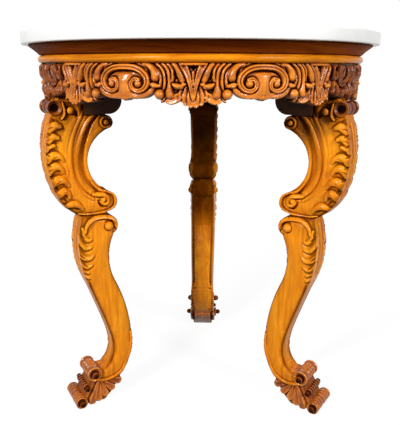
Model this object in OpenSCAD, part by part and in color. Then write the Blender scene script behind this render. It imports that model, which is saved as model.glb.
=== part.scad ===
// Round centre table: a loose marble slab on a carved apron and three scroll legs.
// Millimetres. The feet stand on z = 0, +Z is up, and leg 1 points along +Y.
// A leg is drawn in its own plane: x is the distance from the table's axis, y the height.

/* [Slab] */
// Diameter of the marble slab
slab_d = 710; // [600:5:850]
// Thickness of the marble slab
slab_t = 22; // [14:1:34]
// Radius worn onto the slab's two edges
slab_edge = 2.5; // [1:0.5:5]

/* [Mouldings] */
// How far the slab reaches past the cornice
slab_overhang = 13; // [6:1:25]
// Height of the hollow cornice under the slab
cornice_h = 19; // [12:1:28]
// Upright lip along the cornice's top edge
cornice_lip = 2.5; // [1:0.5:5]
// How far the cornice draws in from its lip to its foot
cornice_draw = 19.5; // [14:0.5:24]
// Height of the half-round bead under the cornice
bead_h = 15; // [10:1:20]
// How far the bead's flat fillets sit in from the cornice's foot
bead_inset = 4; // [2:0.5:8]
// Width of the ledge that the mouldings make inside the rails
ledge_w = 16; // [10:1:24]

/* [Apron] */
// How far the rail's face sits in from the bead's fillets
rail_inset = 6; // [3:0.5:10]
// Thickness of a curved rail
rail_t = 20; // [14:1:26]
// Height of a rail's plain body
rail_h = 44; // [34:1:52]
// How far the lowest carved tips hang under the rail's body
tip_drop = 22; // [14:1:28]
// Height of the low carved ground: leaves and fields
low_relief = 4.5; // [2:0.5:7]
// Height of the raised carving: scroll bands and ribs
high_relief = 8; // [4:0.5:11]
// Half of the angle that a corner carving covers
corner_half = 13.6; // [11:0.1:14]

/* [Legs] */
// How far a leg's outer swell stands past the rail's face
leg_swell = 22; // [12:1:32]
// Height of the waist where the upper and lower scrolls meet
neck_z = 409; // [370:1:450]
// Height of the upper scroll, from the waist to its shoulder
upper_h = 197; // [170:1:225]
// Height of the head block above the shoulder
head_h = 93; // [84:1:110]
// Thickness of the scrolls at the waist end
leg_w = 60; // [50:1:70]
// Thickness of a leg at the ankle
ankle_w = 53; // [44:1:60]
// Thickness of the waist itself
waist_w = 50; // [40:1:58]
// Height over which the lower scroll's cheeks draw in to the waist
waist_draw = 14; // [8:1:20]
// Width of the head block
head_w = 70; // [62:1:84]
// How far the leg's post rises beside the head block
post_h = 34; // [24:1:44]

/* [Volutes and feet] */
// Radius of the upper scroll's top volute
volute_top_r = 14; // [11:0.5:16]
// Radius of the upper scroll's bottom volute
volute_mid_r = 21; // [17:0.5:24]
// Radius of the lower scroll's volute
volute_low_r = 20.5; // [17:0.5:23]
// Height of the foot roller's axis
roller_z = 67; // [60:1:74]
// Radius of the foot roller
roller_r = 15.5; // [12:0.5:18]
// Radius of the toe roller that touches the floor
toe_r = 12.5; // [10:0.5:14]
// Depth of the flat that the toe roller stands on
toe_flat = 0.8; // [0.5:0.1:2]
// Radius of the small roller between the two
pearl_r = 7.5; // [5:0.5:8.5]
// Radius of the turned button in the eyes of the two big volutes
button_r = 9; // [6:0.5:12]
// Radius of the turned button in the eye of the top volute
button_top_r = 6; // [4:0.5:8]
// How far a roller's eye stands out of its end
eye_out = 13; // [8:0.5:16]
// Number of flutes on each cheek of the foot's shell
flutes = 6; // [4:1:7]

/* [Inner frame and fastenings] */
// Width of a bearer under the slab
bearer_w = 40; // [30:1:50]
// Radius of the hub where the three bearers meet
hub_r = 48; // [40:1:70]
// Diameter of the leg dowels
dowel_d = 10; // [6:0.5:14]
// Diameter of the rail dowels
rail_dowel_d = 8; // [5:0.5:10]
// Length of a leg dowel
dowel_l = 44; // [30:1:50]
// Length of a rail dowel
rail_dowel_l = 36; // [26:1:44]
// Play of a dowel or screw in its hole, on the radius
dowel_gap = 0.1; // [0.05:0.05:0.3]
// Shank diameter of a bearer screw
screw_d = 5; // [3:0.5:6]
// Length of a bearer screw
screw_l = 60; // [45:1:80]
// How deep the screw heads are sunk under the slab
screw_sink = 1.5; // [0.5:0.5:4]
// Length of a bearer's tenon in the hub
tenon_l = 18; // [12:1:24]
// Thickness of a bearer's tenon
tenon_t = 12; // [8:1:18]
// Height of a bearer's tenon
tenon_h = 20; // [14:1:24]
// How far the hub hangs under the bearers
hub_drop = 9; // [4:1:16]

// Clearance between a bearer's end and the ring of the mouldings
ring_gap = 0.3; // [0.1:0.1:1]

/* [Hidden] */
// Depth of the hub's flats beyond the bearers' shoulders
hub_flat = 4;

// Heights, from the floor up
shoulder_z = neck_z + upper_h;
rail_top = shoulder_z + head_h;
bead_top = rail_top + bead_h;
slab_z = bead_top + cornice_h;
table_h = slab_z + slab_t;
rail_bottom = rail_top - rail_h;

// Radii, from the slab inwards
slab_r = slab_d / 2;
cornice_r = slab_r - slab_overhang;
cornice_foot = cornice_r - cornice_draw;
bead_r = cornice_foot - bead_inset;
rail_r = bead_r - rail_inset;
rail_in = rail_r - rail_t;
ring_in = rail_in - ledge_w;
// A bearer's square end, whose corners just clear the ring
bearer_out = sqrt(ring_in * ring_in - bearer_w * bearer_w / 4) - ring_gap;
low_r = rail_r + low_relief;
high_r = rail_r + high_relief;
leg_reach = rail_r + leg_swell;

// The leg plane: a point by its inset from the outer swell
function at(inset, z) = [leg_reach - inset, z];
// Heights as shares of the lower and of the upper scroll
function low(f) = roller_z + f * (neck_z - roller_z);
function upp(f) = neck_z + f * upper_h;

// Arc through three points, as n + 1 points
function arc3(a, b, c, n) =
    let (
        d = 2 * (a.x * (b.y - c.y) + b.x * (c.y - a.y) + c.x * (a.y - b.y)),
        ux = (a * a * (b.y - c.y) + b * b * (c.y - a.y) + c * c * (a.y - b.y)) / d,
        uy = (a * a * (c.x - b.x) + b * b * (a.x - c.x) + c * c * (b.x - a.x)) / d,
        r = norm(a - [ux, uy]),
        a0 = atan2(a.y - uy, a.x - ux),
        a1 = atan2(c.y - uy, c.x - ux),
        turn = ((a1 - a0 + 540) % 360) - 180
    )
    [for (i = [0:n]) [ux + r * cos(a0 + turn * i / n), uy + r * sin(a0 + turn * i / n)]];

// Where the volutes, rollers and hollows of a leg are centred
volute_top = at(114.5, shoulder_z - volute_top_r - 1.5);
volute_mid = at(110.5, neck_z + volute_mid_r + 6);
volute_low = at(113, neck_z - volute_low_r - 2.5);
hollow = at(141.6, upp(0.548));
hollow_r = upper_h / 3;
knuckle = at(19, shoulder_z + 14);
knuckle_r = 12;
roller = at(70.5, roller_z);
pearl = at(53, 38);
toe = at(38.5, toe_r - toe_flat);
post_in = at(72, 0).x;
waist_in = at(111, 0).x;
waist_out = at(62, 0).x;
walnut = [0.62, 0.33, 0.12];
dark_walnut = [0.40, 0.19, 0.08];
light_walnut = [0.78, 0.48, 0.18];
marble = [0.93, 0.91, 0.87];
pine = [0.80, 0.65, 0.42];
steel = [0.6, 0.6, 0.62];
$fn = 64;

// Puts a child drawn for the +X direction on leg i
module on_leg(i) {
    rotate([0, 0, 90 + 120 * (i - 1)])
        children();
}

// Puts a child drawn for the +X direction on the panel that follows leg i
module on_panel(i) {
    rotate([0, 0, 150 + 120 * (i - 1)])
        children();
}

// Gives a leg-plane outline its thickness w
module plank(w) {
    rotate([90, 0, 0])
        linear_extrude(w, center = true)
            children();
}

// Pushes a face outline out along +X, from radius r0 to r1, turned by a round the axis
module face(a, r0, r1) {
    rotate([0, 0, a])
        translate([r0, 0, 0])
            rotate([90, 0, 90])
                linear_extrude(r1 - r0)
                    children();
}

// A round bar across the leg plane at point p
module bar(p, r, l) {
    translate([p.x, 0, p.y])
        rotate([90, 0, 0])
            cylinder(r = r, h = l, center = true);
}

// A leaf outline, len long and wide across, pointing along +y
module leaf(len, wide) {
    r = (len * len + wide * wide) / (4 * wide);
    intersection() {
        translate([wide / 2 - r, len / 2])
            circle(r, $fn = 96);
        translate([r - wide / 2, len / 2])
            circle(r, $fn = 96);
    }
}

// A curved frond: a disc less an offset disc, cut to a sickle
module sickle(r, t) {
    difference() {
        circle(r);
        translate([t, -t / 3])
            circle(r);
    }
}

// The slab and the mouldings

module marble_top() {
    color(marble)
        rotate_extrude($fn = 128)
            polygon(concat(
                [[0, slab_z]],
                arc3([slab_r - slab_edge, slab_z], [slab_r - slab_edge * 0.293, slab_z + slab_edge * 0.293],
                     [slab_r, slab_z + slab_edge], 3),
                arc3([slab_r, table_h - slab_edge], [slab_r - slab_edge * 0.293, table_h - slab_edge * 0.293],
                     [slab_r - slab_edge, table_h], 3),
                [[0, table_h]]
            ));
}

module cornice_moulding() {
    lip_z = slab_z - cornice_lip;
    mid = [(cornice_r + cornice_foot) / 2 - 2, (lip_z + bead_top) / 2 + 2];
    color(dark_walnut)
        rotate_extrude($fn = 128)
            polygon(concat(
                [[ring_in, bead_top]],
                arc3([cornice_foot, bead_top], mid, [cornice_r, lip_z], 8),
                [[cornice_r, slab_z], [ring_in, slab_z]]
            ));
}

module bead_moulding() {
    color(light_walnut)
        rotate_extrude($fn = 128)
            union() {
                translate([ring_in, rail_top])
                    square([bead_r - ring_in, bead_h]);
                translate([bead_r, rail_top + bead_h / 2])
                    circle(bead_h / 2);
            }
}

// The carved apron

// Palmette of the panel's centre: fanned head, ribs and shell
module palmette(a) {
    face(a, rail_in + 4, high_r + 1) {
        difference() {
            polygon([[-15, rail_top - 4], [15, rail_top - 4], [8, rail_top - 36], [-8, rail_top - 36]]);
            polygon([[-7, rail_top - 7], [7, rail_top - 7], [0, rail_top - 23]]);
        }
        for (s = [-1, 1])
            translate([s * 4, rail_top - 52])
                rotate(s * -8)
                    leaf(30, 8);
    }
    face(a, rail_in + 4, low_r + 2) {
        for (k = [-2:2])
            translate([k * 6, rail_bottom - tip_drop + 13 + abs(k) * 2])
                circle(7.5 - abs(k));
        polygon([[-10, rail_top - 30], [10, rail_top - 30], [14, rail_bottom - 6], [-14, rail_bottom - 6]]);
    }
    for (s = [-1, 1]) {
        face(a + s * 4.6, rail_in + 4, low_r)
            translate([s * -2, rail_bottom - tip_drop + 12])
                rotate(s * 22)
                    leaf(52, 15);
        face(a + s * 4.4, rail_in + 4, high_r)
            translate([0, rail_top - 31])
                circle(5.5);
    }
}

// C-scroll cartouche: reeded arch, two volutes with eyes, bossed shield and lip
module cartouche(a) {
    arch_r = 40;
    arch_z = rail_top - 4 - arch_r;
    face(a, rail_in + 4, high_r + 1) {
        intersection() {
            translate([0, arch_z])
                difference() {
                    circle(arch_r);
                    circle(arch_r - 10);
                }
            translate([-arch_r, rail_top - 34])
                square([2 * arch_r, 34]);
        }
        for (s = [-1, 1])
            translate([s * 25, rail_top - 31])
                circle(10.5);
    }
    face(a, rail_in + 4, low_r) {
        polygon([
            [-30, rail_top - 14], [30, rail_top - 14], [43, rail_bottom - 2], [24, rail_bottom - 14],
            [0, rail_bottom - 17], [-24, rail_bottom - 14], [-43, rail_bottom - 2]
        ]);
    }
    // cupid-bow lip along the bottom
    face(a, rail_in + 4, low_r + 3) {
        for (s = [-1, 1])
            intersection() {
                translate([s * 26, rail_bottom - 26])
                    difference() {
                        circle(27);
                        circle(21);
                    }
                translate([s > 0 ? 0 : -46, rail_bottom - 17])
                    square([46, 24]);
            }
    }
    for (s = [-1, 1])
        rotate([0, 0, a + s * 4.2])
            translate([high_r - 1, 0, rail_top - 31])
                sphere(5);
    // bossed field
    rotate([0, 0, a])
        translate([low_r - 8, 0, rail_bottom + 6])
            sphere(15);
}

// Fronds and pearls that fill the ground beside a palmette
module fronds(a, s) {
    face(a, rail_in + 4, high_r - 1)
        for (k = [0:2])
            translate([s * (k * 9 - 6), rail_top - 22 - k * 4])
                mirror([s < 0 ? 1 : 0, 0])
                    sickle(20 - k * 2, 7);
    face(a, rail_in + 4, low_r)
        translate([s * -2, rail_bottom - 12])
            rotate(s * -12)
                leaf(44, 20);
    rotate([0, 0, a + s * 1.9])
        translate([rail_r + 2, 0, rail_top - 31])
            sphere(5);
    rotate([0, 0, a + s * 1.5])
        translate([rail_r + 2, 0, rail_top - 45])
            sphere(7.5);
}

// The room of the head blocks at a panel's two ends, with the holes of its dowels
module rail_ends() {
    for (s = [-1, 1])
        rotate([0, 0, 60 * s]) {
            translate([0, -head_w / 2, 0])
                cube([slab_r, head_w, rail_top + 1]);
            rail_dowels_at(dowel_gap);
        }
}

module apron_rail(i) {
    span = 53.6;
    color(walnut)
        on_panel(i)
            difference() {
                union() {
                    rotate([0, 0, -span])
                        rotate_extrude(angle = 2 * span, $fn = 128)
                            translate([rail_in, rail_bottom])
                                square([rail_t, rail_h]);
                    for (a = [-40.8, 0, 40.8])
                        palmette(a);
                    for (s = [-1, 1]) {
                        cartouche(s * 20.2);
                        fronds(s * 9.6, s);
                        fronds(s * 31.2, -s);
                    }
                }
                rail_ends();
            }
}

// Leaf cluster wrapped over the corner, from low side leaves to a high central one
module corner_carving(i) {
    step = corner_half * 0.22;
    color(walnut)
        on_leg(i)
            difference() {
                intersection() {
                    union() {
                        for (s = [-1, 1]) {
                            for (k = [0:3])
                                face(s * (0.87 + k) * step, rail_r - 2, rail_r + high_relief + 1 - k * 1.2)
                                    translate([s * -2, rail_top - 50 + k * 3])
                                        rotate(s * (k * 5 - 12))
                                            leaf(46 - k * 3, 17);
                            face(s * 3.68 * step, rail_r - 2, high_r)
                                translate([0, rail_top - 44])
                                    circle(8);
                            rotate([0, 0, s * 2.54 * step])
                                translate([rail_r + 2, 0, rail_top - 47])
                                    rotate([0, 90, 0])
                                        sphere(8);
                        }
                        // the ground runs past the ends, which the outer cut trims
                        rotate([0, 0, -corner_half - 1])
                            rotate_extrude(angle = 2 * corner_half + 2, $fn = 128)
                                translate([rail_r - 1, rail_top - 44])
                                    square([low_relief, 40]);
                        face(0, rail_r - 2, high_r + 2)
                            translate([0, rail_top - 56])
                                leaf(52, 22);
                    }
                    rotate([0, 0, -corner_half])
                        rotate_extrude(angle = 2 * corner_half, $fn = 128)
                            translate([rail_r, 0])
                                square([slab_r - rail_r, rail_top - 2]);
                }
                for (s = [-1, 1])
                    rotate([0, 0, s * 3.81 * step])
                        translate([rail_r - 1, 0, rail_top - 20])
                            rotate([0, 90, 0])
                                cylinder(r = 3.5, h = 60);
            }
}

// The legs

// Outer block behind the apron, with a rounded nose over the top volute
module head_block(i) {
    nose = 26;
    color(dark_walnut)
        on_leg(i)
            difference() {
                intersection() {
                    plank(head_w)
                        difference() {
                            union() {
                                translate([waist_in - 35 + nose, shoulder_z])
                                    square([rail_r - waist_in + 35 - nose, head_h]);
                                translate([waist_in - 35, shoulder_z + nose])
                                    square([nose, head_h - nose]);
                                translate([waist_in - 35 + nose, shoulder_z + nose])
                                    circle(nose);
                            }
                            translate([post_in, shoulder_z - 1])
                                square([200, post_h + 1]);
                        }
                    cylinder(r = rail_r, h = rail_top + 1, $fn = 128);
                }
                head_dowels_at(dowel_gap);
                rail_dowels_at(dowel_gap);
                screws_at(dowel_gap);
            }
}

// Outline of the upper scroll
module upper_outline() {
    difference() {
        union() {
            polygon(concat(
                [[post_in, shoulder_z + post_h]],
                arc3(at(30.4, shoulder_z + post_h), at(0, upp(0.635)), at(13, upp(0.274)), 14),
                arc3(at(13, upp(0.274)), at(33, upp(0.102)), [waist_out, neck_z], 7),
                [[waist_in, neck_z], volute_mid, volute_top, [volute_top.x, shoulder_z], [post_in, shoulder_z]]
            ));
            translate(volute_mid)
                circle(volute_mid_r);
            translate(volute_top)
                circle(volute_top_r);
        }
        translate(hollow)
            circle(hollow_r);
        translate(knuckle)
            circle(knuckle_r);
    }
}

// Face-on widths of the upper scroll: pinched at the waist, flared to the head
module upper_front() {
    polygon([
        [-waist_w / 2, neck_z], [waist_w / 2, neck_z], [leg_w / 2, neck_z + 16], [leg_w / 2, upp(0.5)],
        [head_w / 2 - 2, shoulder_z + post_h], [2 - head_w / 2, shoulder_z + post_h],
        [-leg_w / 2, upp(0.5)], [-leg_w / 2, neck_z + 16]
    ]);
}

// A round groove of radius r about point p, cut into both cheeks at half width h
module cheek_groove(p, r, h, tube) {
    for (s = [-1, 1])
        translate([p.x, s * h, p.y])
            rotate([90, 0, 0])
                rotate_extrude($fn = 96)
                    translate([r, 0])
                        circle(tube, $fn = 16);
}

// Leaf lobe laid on the leg's outer corner: a domed leaf at point p, turned by a
module lobe(p, a, len, wide, h) {
    for (s = [-1, 1])
        intersection() {
            translate([p.x, s * (h - 8), p.y])
                rotate([90, a, 0])
                    translate([0, -len / 2, 0])
                        linear_extrude(32, center = true)
                            leaf(len, wide);
            translate([p.x, s * (h + 5 - len), p.y])
                sphere(len, $fn = 48);
        }
}

module upper_scroll(i) {
    color(walnut)
        on_leg(i)
            difference() {
                union() {
                    intersection() {
                        plank(head_w)
                            upper_outline();
                        rotate([90, 0, 90])
                            linear_extrude(slab_r)
                                upper_front();
                    }
                    // acanthus lobes down the outer corner
                    for (f = [0.16:0.11:0.94])
                        lobe(at(17 + 60 * pow(abs(f - 0.62), 1.8), upp(f)), 60 - 60 * f, 26, 13, leg_w / 2);
                }
                cheek_groove(hollow, hollow_r + 15, leg_w / 2 + 1.2, 3);
                cheek_groove(hollow, hollow_r + 27, leg_w / 2 + 1, 2);
                cheek_groove(volute_mid, 14.5, leg_w / 2 + 0.5, 2);
                bar(knuckle, knuckle_r, 2 * head_w);
                neck_dowels_at(dowel_gap);
                head_dowels_at(dowel_gap);
            }
}

// Outline of the lower scroll: volute, knee, ankle and the turn into the foot roller
module lower_outline() {
    difference() {
        union() {
            polygon(concat(
                [[waist_out, neck_z]],
                arc3([waist_out, neck_z], at(53, low(0.784)), at(75, low(0.541)), 10),
                arc3(at(75, low(0.541)), at(100.5, low(0.33)), at(117.5, low(0.17)), 8),
                arc3(at(117.5, low(0.17)), at(113, low(0.088)), at(98, low(0.012)), 6),
                [roller],
                arc3(at(71.5, roller_z - roller_r - 1), at(102, roller_z - 23.5), at(131, roller_z - 12), 7),
                arc3(at(131, roller_z - 12), at(150, low(0.067)), at(157.7, low(0.184)), 6),
                arc3(at(157.7, low(0.184)), at(151, low(0.351)), at(125, low(0.579)), 8),
                arc3(at(125, low(0.579)), at(113, low(0.743)), at(124, neck_z - 42), 8),
                [volute_low, [waist_in, neck_z]]
            ));
            translate(volute_low)
                circle(volute_low_r);
        }
        translate(roller)
            circle(roller_r);
    }
}

// Face-on widths of the lower scroll
module lower_front() {
    polygon([
        [-waist_w / 2, neck_z], [-leg_w / 2, neck_z - waist_draw], [-leg_w / 2, low(0.7)],
        [-ankle_w / 2, low(0.25)], [-ankle_w / 2, 0],
        [ankle_w / 2, 0], [ankle_w / 2, low(0.25)],
        [leg_w / 2, low(0.7)], [leg_w / 2, neck_z - waist_draw], [waist_w / 2, neck_z]
    ]);
}

module lower_scroll(i) {
    color(walnut)
        on_leg(i)
            difference() {
                union() {
                    intersection() {
                        plank(leg_w)
                            lower_outline();
                        rotate([90, 0, 90])
                            linear_extrude(slab_r)
                                lower_front();
                    }
                    // acanthus lobes down the knee
                    for (f = [0.58:0.08:0.92])
                        lobe(at(62 + 90 * pow(abs(f - 0.78), 1.6), low(f)), 20 - 40 * (f - 0.6), 26, 12,
                             leg_w / 2 - 1);
                }
                cheek_groove(volute_low, 14, leg_w / 2 + 0.5, 2);
                neck_dowels_at(dowel_gap);
                foot_dowels_at(dowel_gap);
            }
}

// Turned knuckle on the leg's top: two dished rings with a reel between them
module knuckle_scroll(i) {
    ring_l = 10;
    color(walnut)
        on_leg(i)
            translate([knuckle.x, 0, knuckle.y])
                rotate([90, 0, 0])
                    rotate_extrude()
                        difference() {
                            union() {
                                translate([0, -leg_w / 2])
                                    square([knuckle_r - 3, leg_w]);
                                for (s = [-1, 1]) {
                                    translate([0, s * (leg_w - ring_l) / 2 - ring_l / 2])
                                        square([knuckle_r - 0.1, ring_l]);
                                    translate([knuckle_r - 5, s * 7])
                                        circle(4.5);
                                }
                            }
                            for (s = [-1, 1])
                                translate([knuckle_r - 6, s * leg_w / 2])
                                    circle(3);
                            translate([-50, -leg_w])
                                square([50, 2 * leg_w]);
                        }
}

// Section of a roller: banded drum, dished ends and a round eye on each end
module roller_section(r, half, bands, eye_r) {
    difference() {
        union() {
            translate([0, -half])
                square([r, 2 * half]);
            translate([0, -half - eye_out + eye_r])
                square([eye_r * 0.8, 2 * (half + eye_out - eye_r)]);
            for (s = [-1, 1])
                translate([0, s * (half + eye_out - eye_r)])
                    circle(eye_r);
        }
        for (s = [-1, 1]) {
            for (b = bands)
                translate([r, s * b])
                    circle(1.8, $fn = 16);
            translate([r * 0.74, s * half])
                circle(r * 0.14, $fn = 16);
        }
        translate([-50, -2 * half])
            square([50, 4 * half]);
    }
}

module turned_roller(p, r, half, bands, eye_r) {
    translate([p.x, 0, p.y])
        rotate([90, 0, 0])
            rotate_extrude()
                roller_section(r, half, bands, eye_r);
}

module foot_roller(i) {
    color(walnut)
        on_leg(i)
            turned_roller(roller, roller_r - dowel_gap, ankle_w / 2 + 3, [8, 19], 7.5);
}

// Outline of the shell under the foot, before the leg and the rollers are cut from it
module shell_outline() {
    polygon(concat(
        [at(131, roller_z - 8)],
        arc3(at(131, roller_z - 12), at(113, 24), at(89, -1), 8),
        [[toe.x, -1], toe, pearl, roller]
    ));
}

// Fluted shell with the toe roller and the pearl carved on it; it stands on the floor
module foot_shell(i) {
    apex = at(82, roller_z - 13);
    color(walnut)
        on_leg(i)
            difference() {
                intersection() {
                    union() {
                        plank(ankle_w)
                            shell_outline();
                        for (s = [-1, 1])
                            for (k = [0:flutes - 1]) {
                                t = k / (flutes - 1);
                                end = at(120 - 60 * t, 36 * pow(1 - t, 1.6) + 6);
                                flute(apex, end, s * (ankle_w / 2 - 1));
                            }
                        toe_roller();
                        bar(pearl, pearl_r, ankle_w + 6);
                        for (s = [-1, 1])
                            translate([pearl.x, s * (ankle_w / 2 + 4), pearl.y])
                                sphere(pearl_r - 1.5);
                    }
                    translate([0, -head_w, 0])
                        cube([slab_r, 2 * head_w, roller_z]);
                }
                plank(2 * head_w)
                    lower_solid();
                bar(roller, roller_r, 2 * head_w);
                foot_dowels_at(dowel_gap);
            }
}

// The lower scroll's outline with the roller's place filled, to cut the shell against
module lower_solid() {
    lower_outline();
    translate(roller)
        circle(roller_r);
}

module toe_roller() {
    turned_roller(toe, toe_r, ankle_w / 2 + 9, [9, 22], 6.5);
}

// One flute: a cone from a to b in the leg plane, at the side offset y, with a round end
module flute(a, b, y) {
    d = b - a;
    translate([a.x, y, a.y])
        rotate([0, 90 - atan2(d.y, d.x), 0])
            cylinder(r1 = 2, r2 = 7, h = norm(d));
    translate([b.x, y, b.y])
        sphere(7.8);
}

// Turned buttons in the eyes of the leg's three volutes, on both cheeks
module volute_bosses(i) {
    color(walnut)
        on_leg(i)
            for (s = [-1, 1]) {
                boss(volute_top, s * width_at(volute_top.y + button_top_r) / 2, s, button_top_r);
                boss(volute_mid, s * leg_w / 2, s, button_r);
                boss(volute_low, s * leg_w / 2, s, button_r);
            }
}

// Thickness of the upper scroll at height z
function width_at(z) =
    leg_w + (head_w - 4 - leg_w) * (z - upp(0.5)) / (shoulder_z + post_h - upp(0.5));

// A domed button of radius r that stands on a cheek at offset y and faces side s
module boss(p, y, s, r) {
    translate([p.x, y, p.y])
        rotate([s * -90, 0, 0])
            intersection() {
                cylinder(r = r, h = r);
                translate([0, 0, -r * 0.25])
                    sphere(r * 1.05);
            }
}

// The inner frame

module bearer(i) {
    color(pine)
        on_leg(i)
            difference() {
                union() {
                    translate([hub_r, -bearer_w / 2, rail_top])
                        cube([bearer_out - hub_r, bearer_w, slab_z - rail_top]);
                    translate([hub_r - tenon_l, -tenon_t / 2, rail_top + 7])
                        cube([tenon_l + 1, tenon_t, tenon_h]);
                }
                screws_at(dowel_gap);
                screw_mouths();
            }
}

module hub_block() {
    color(pine)
        difference() {
            translate([0, 0, rail_top - hub_drop])
                cylinder(r = hub_r + hub_flat, h = slab_z - rail_top + hub_drop);
            for (i = [1:3])
                on_leg(i) {
                    translate([hub_r - tenon_l, -tenon_t / 2, rail_top + 7])
                        cube([tenon_l + 1, tenon_t, tenon_h]);
                    translate([hub_r, -hub_r, rail_top - hub_drop - 1])
                        cube([hub_flat + 1, 2 * hub_r, slab_z]);
                }
        }
}

// Dowels of one leg, each fattened by its play when it is used to cut a hole

module neck_dowels_at(play) {
    for (x = [waist_in + 14, waist_out - 14])
        translate([x, 0, neck_z - dowel_l / 2 - play])
            cylinder(d = dowel_d + 2 * play, h = dowel_l + 2 * play);
}

module head_dowels_at(play) {
    for (s = [-1, 1])
        translate([post_in + 18, s * 14, shoulder_z + post_h - dowel_l / 2 - play])
            cylinder(d = dowel_d + 2 * play, h = dowel_l + 2 * play);
}

module foot_dowels_at(play) {
    translate([at(98, 0).x, 0, roller_z - 23 - dowel_l / 2 - play])
        cylinder(d = dowel_d + 2 * play, h = dowel_l + 2 * play);
}

module rail_dowels_at(play) {
    for (s = [-1, 1])
        for (z = [rail_bottom + 12, rail_top - 12])
            translate([rail_in + rail_t / 2, s * head_w / 2, z])
                rotate([90, 0, 0])
                    cylinder(d = rail_dowel_d + 2 * play, h = rail_dowel_l + 2 * play, center = true);
}

module neck_dowels() {
    color(pine)
        for (i = [1:3])
            on_leg(i)
                neck_dowels_at(0);
}

module head_dowels() {
    color(pine)
        for (i = [1:3])
            on_leg(i)
                head_dowels_at(0);
}

module foot_dowels() {
    color(pine)
        for (i = [1:3])
            on_leg(i)
                foot_dowels_at(0);
}

module rail_dowels() {
    color(pine)
        for (i = [1:3])
            on_leg(i)
                rail_dowels_at(0);
}

// Countersunk screws that hold one bearer down on its head block
module screws_at(play) {
    for (x = [ring_in - 24, ring_in - 60])
        translate([x, 0, slab_z - screw_sink])
            rotate_extrude()
                polygon([
                    [0, -screw_l - play], [screw_d / 2 + play, -screw_l - play],
                    [screw_d / 2 + play, -screw_d / 2], [screw_d + play, 0], [0, 0]
                ]);
}

// Room above the sunk heads
module screw_mouths() {
    for (x = [ring_in - 24, ring_in - 60])
        translate([x, 0, slab_z - screw_sink])
            cylinder(r = screw_d + dowel_gap, h = screw_sink + 1);
}

module bearer_screws() {
    color(steel)
        for (i = [1:3])
            on_leg(i)
                screws_at(0);
}

// Corner blocks glued in the angle between the rails and the mouldings
module glue_blocks() {
    leg = ledge_w - 1;
    color(pine)
        for (i = [1:3])
            on_panel(i)
                for (a = [-36, -12, 12, 36])
                    rotate([0, 0, a - 3.5])
                        rotate_extrude(angle = 7, $fn = 128)
                            polygon([
                                [rail_in, rail_top], [rail_in - leg, rail_top],
                                [rail_in - leg, rail_top - 4], [rail_in - 4, rail_top - leg],
                                [rail_in, rail_top - leg]
                            ]);
}

marble_top();
cornice_moulding();
bead_moulding();
hub_block();
neck_dowels();
foot_dowels();
head_dowels();
rail_dowels();
bearer_screws();
glue_blocks();
for (i = [1:3]) {
    apron_rail(i);
    corner_carving(i);
    head_block(i);
    knuckle_scroll(i);
    upper_scroll(i);
    lower_scroll(i);
    foot_roller(i);
    foot_shell(i);
    volute_bosses(i);
    bearer(i);
}
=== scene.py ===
import math

import bpy
import numpy as np
from mathutils import Matrix, Vector


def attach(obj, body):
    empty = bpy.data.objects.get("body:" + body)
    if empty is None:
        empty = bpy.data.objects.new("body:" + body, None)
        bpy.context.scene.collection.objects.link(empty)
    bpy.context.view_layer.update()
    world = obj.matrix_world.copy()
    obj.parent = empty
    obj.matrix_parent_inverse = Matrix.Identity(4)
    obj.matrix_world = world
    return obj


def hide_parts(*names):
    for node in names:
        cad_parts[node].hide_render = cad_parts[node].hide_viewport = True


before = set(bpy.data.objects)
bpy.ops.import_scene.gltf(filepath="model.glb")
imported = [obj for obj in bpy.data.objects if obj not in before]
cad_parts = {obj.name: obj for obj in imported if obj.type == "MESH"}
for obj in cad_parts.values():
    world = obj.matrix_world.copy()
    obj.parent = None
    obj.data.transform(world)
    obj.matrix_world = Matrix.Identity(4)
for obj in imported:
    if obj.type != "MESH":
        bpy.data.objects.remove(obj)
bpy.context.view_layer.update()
MM = 0.001

# Sizes in millimetres, the same as in the part's source
RAIL_R, RAIL_IN, RAIL_TOP = 312.5, 292.5, 699.0
SLAB_R, SLAB_Z, TABLE_H, SLAB_EDGE = 355.0, 733.0, 755.0, 2.5
RING_IN, BEAD_TOP, CORNICE_FOOT = 276.5, 714.0, 322.5
NECK, SHOULDER, ROLLER_Z, REACH = 409.0, 606.0, 67.0, 334.5
POST_Z = SHOULDER + 34
HOLLOW, HOLLOW_R = (192.9, 516.96), 65.67
VOL_TOP, VOL_MID, VOL_LOW = (220.0, 590.5), (224.0, 436.0), (221.5, 386.0)
KNUCKLE, ROLLER, PEARL, TOE = (315.5, 620.0), (264.0, 67.0), (281.5, 38.0), (296.0, 11.7)
BAY = 113.4          # from a palmette's centre to a cartouche's centre, along the rail
ARC = 5.585          # millimetres of rail to a degree
RAIL_FOOT, TIP_BACK = -44.6, -15.8      # leaf tips hang below the rail's foot and are thinner than it
CLUSTER_BACK = 0.2   # how far the clusters lie off the rail's face

# Sizes of the meshes
POLE = 0.05          # radius at which a turned profile is closed on its axis
RING_SIDES, ROLLER_SIDES = 256, 56
TILE = 116           # grid steps in BAY
STEP = BAY / TILE
APRON_DEEP = 71      # the apron's grid reaches this far below the rail's top edge
PANEL_HALF = 53.35   # degrees from a panel's middle to its end
LEG_STEP = 1.15      # grid step of the scrolls; the clusters and shells have 1.0
RIM_DROP = 0.5       # how far a relief's outermost points lie under the next ones

# Tones of the wood: 0.5 is level ground, lower is painted shade, higher is lighter as wear and painted
# highlight
RIM_TONE, BACK_TONE, CHEEK_TONE = 0.40, 0.30, 0.55
STEEP_SIDE_SHADE = 0.075   # painted shade: steep sides of the carving are darker
CARVE_TONE = 0.66    # share of the carving's painted light and shade that the legs keep
WALL_TONE = 0.40     # painted shade on the outer faces between the cheeks
INNER_TONES, INNER_Z = (0.52, 0.23), (220, 360)     # inner faces: painted light below and painted shade above, where the table shades them
EDGE_SHADE, EDGE_SHADE_WIDTH = 0.16, 7.5                 # painted shade along the edges where the legs round off, and how far in


# Curves and reliefs

def unit(x):
    return np.clip(x, 0, 1)


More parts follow.
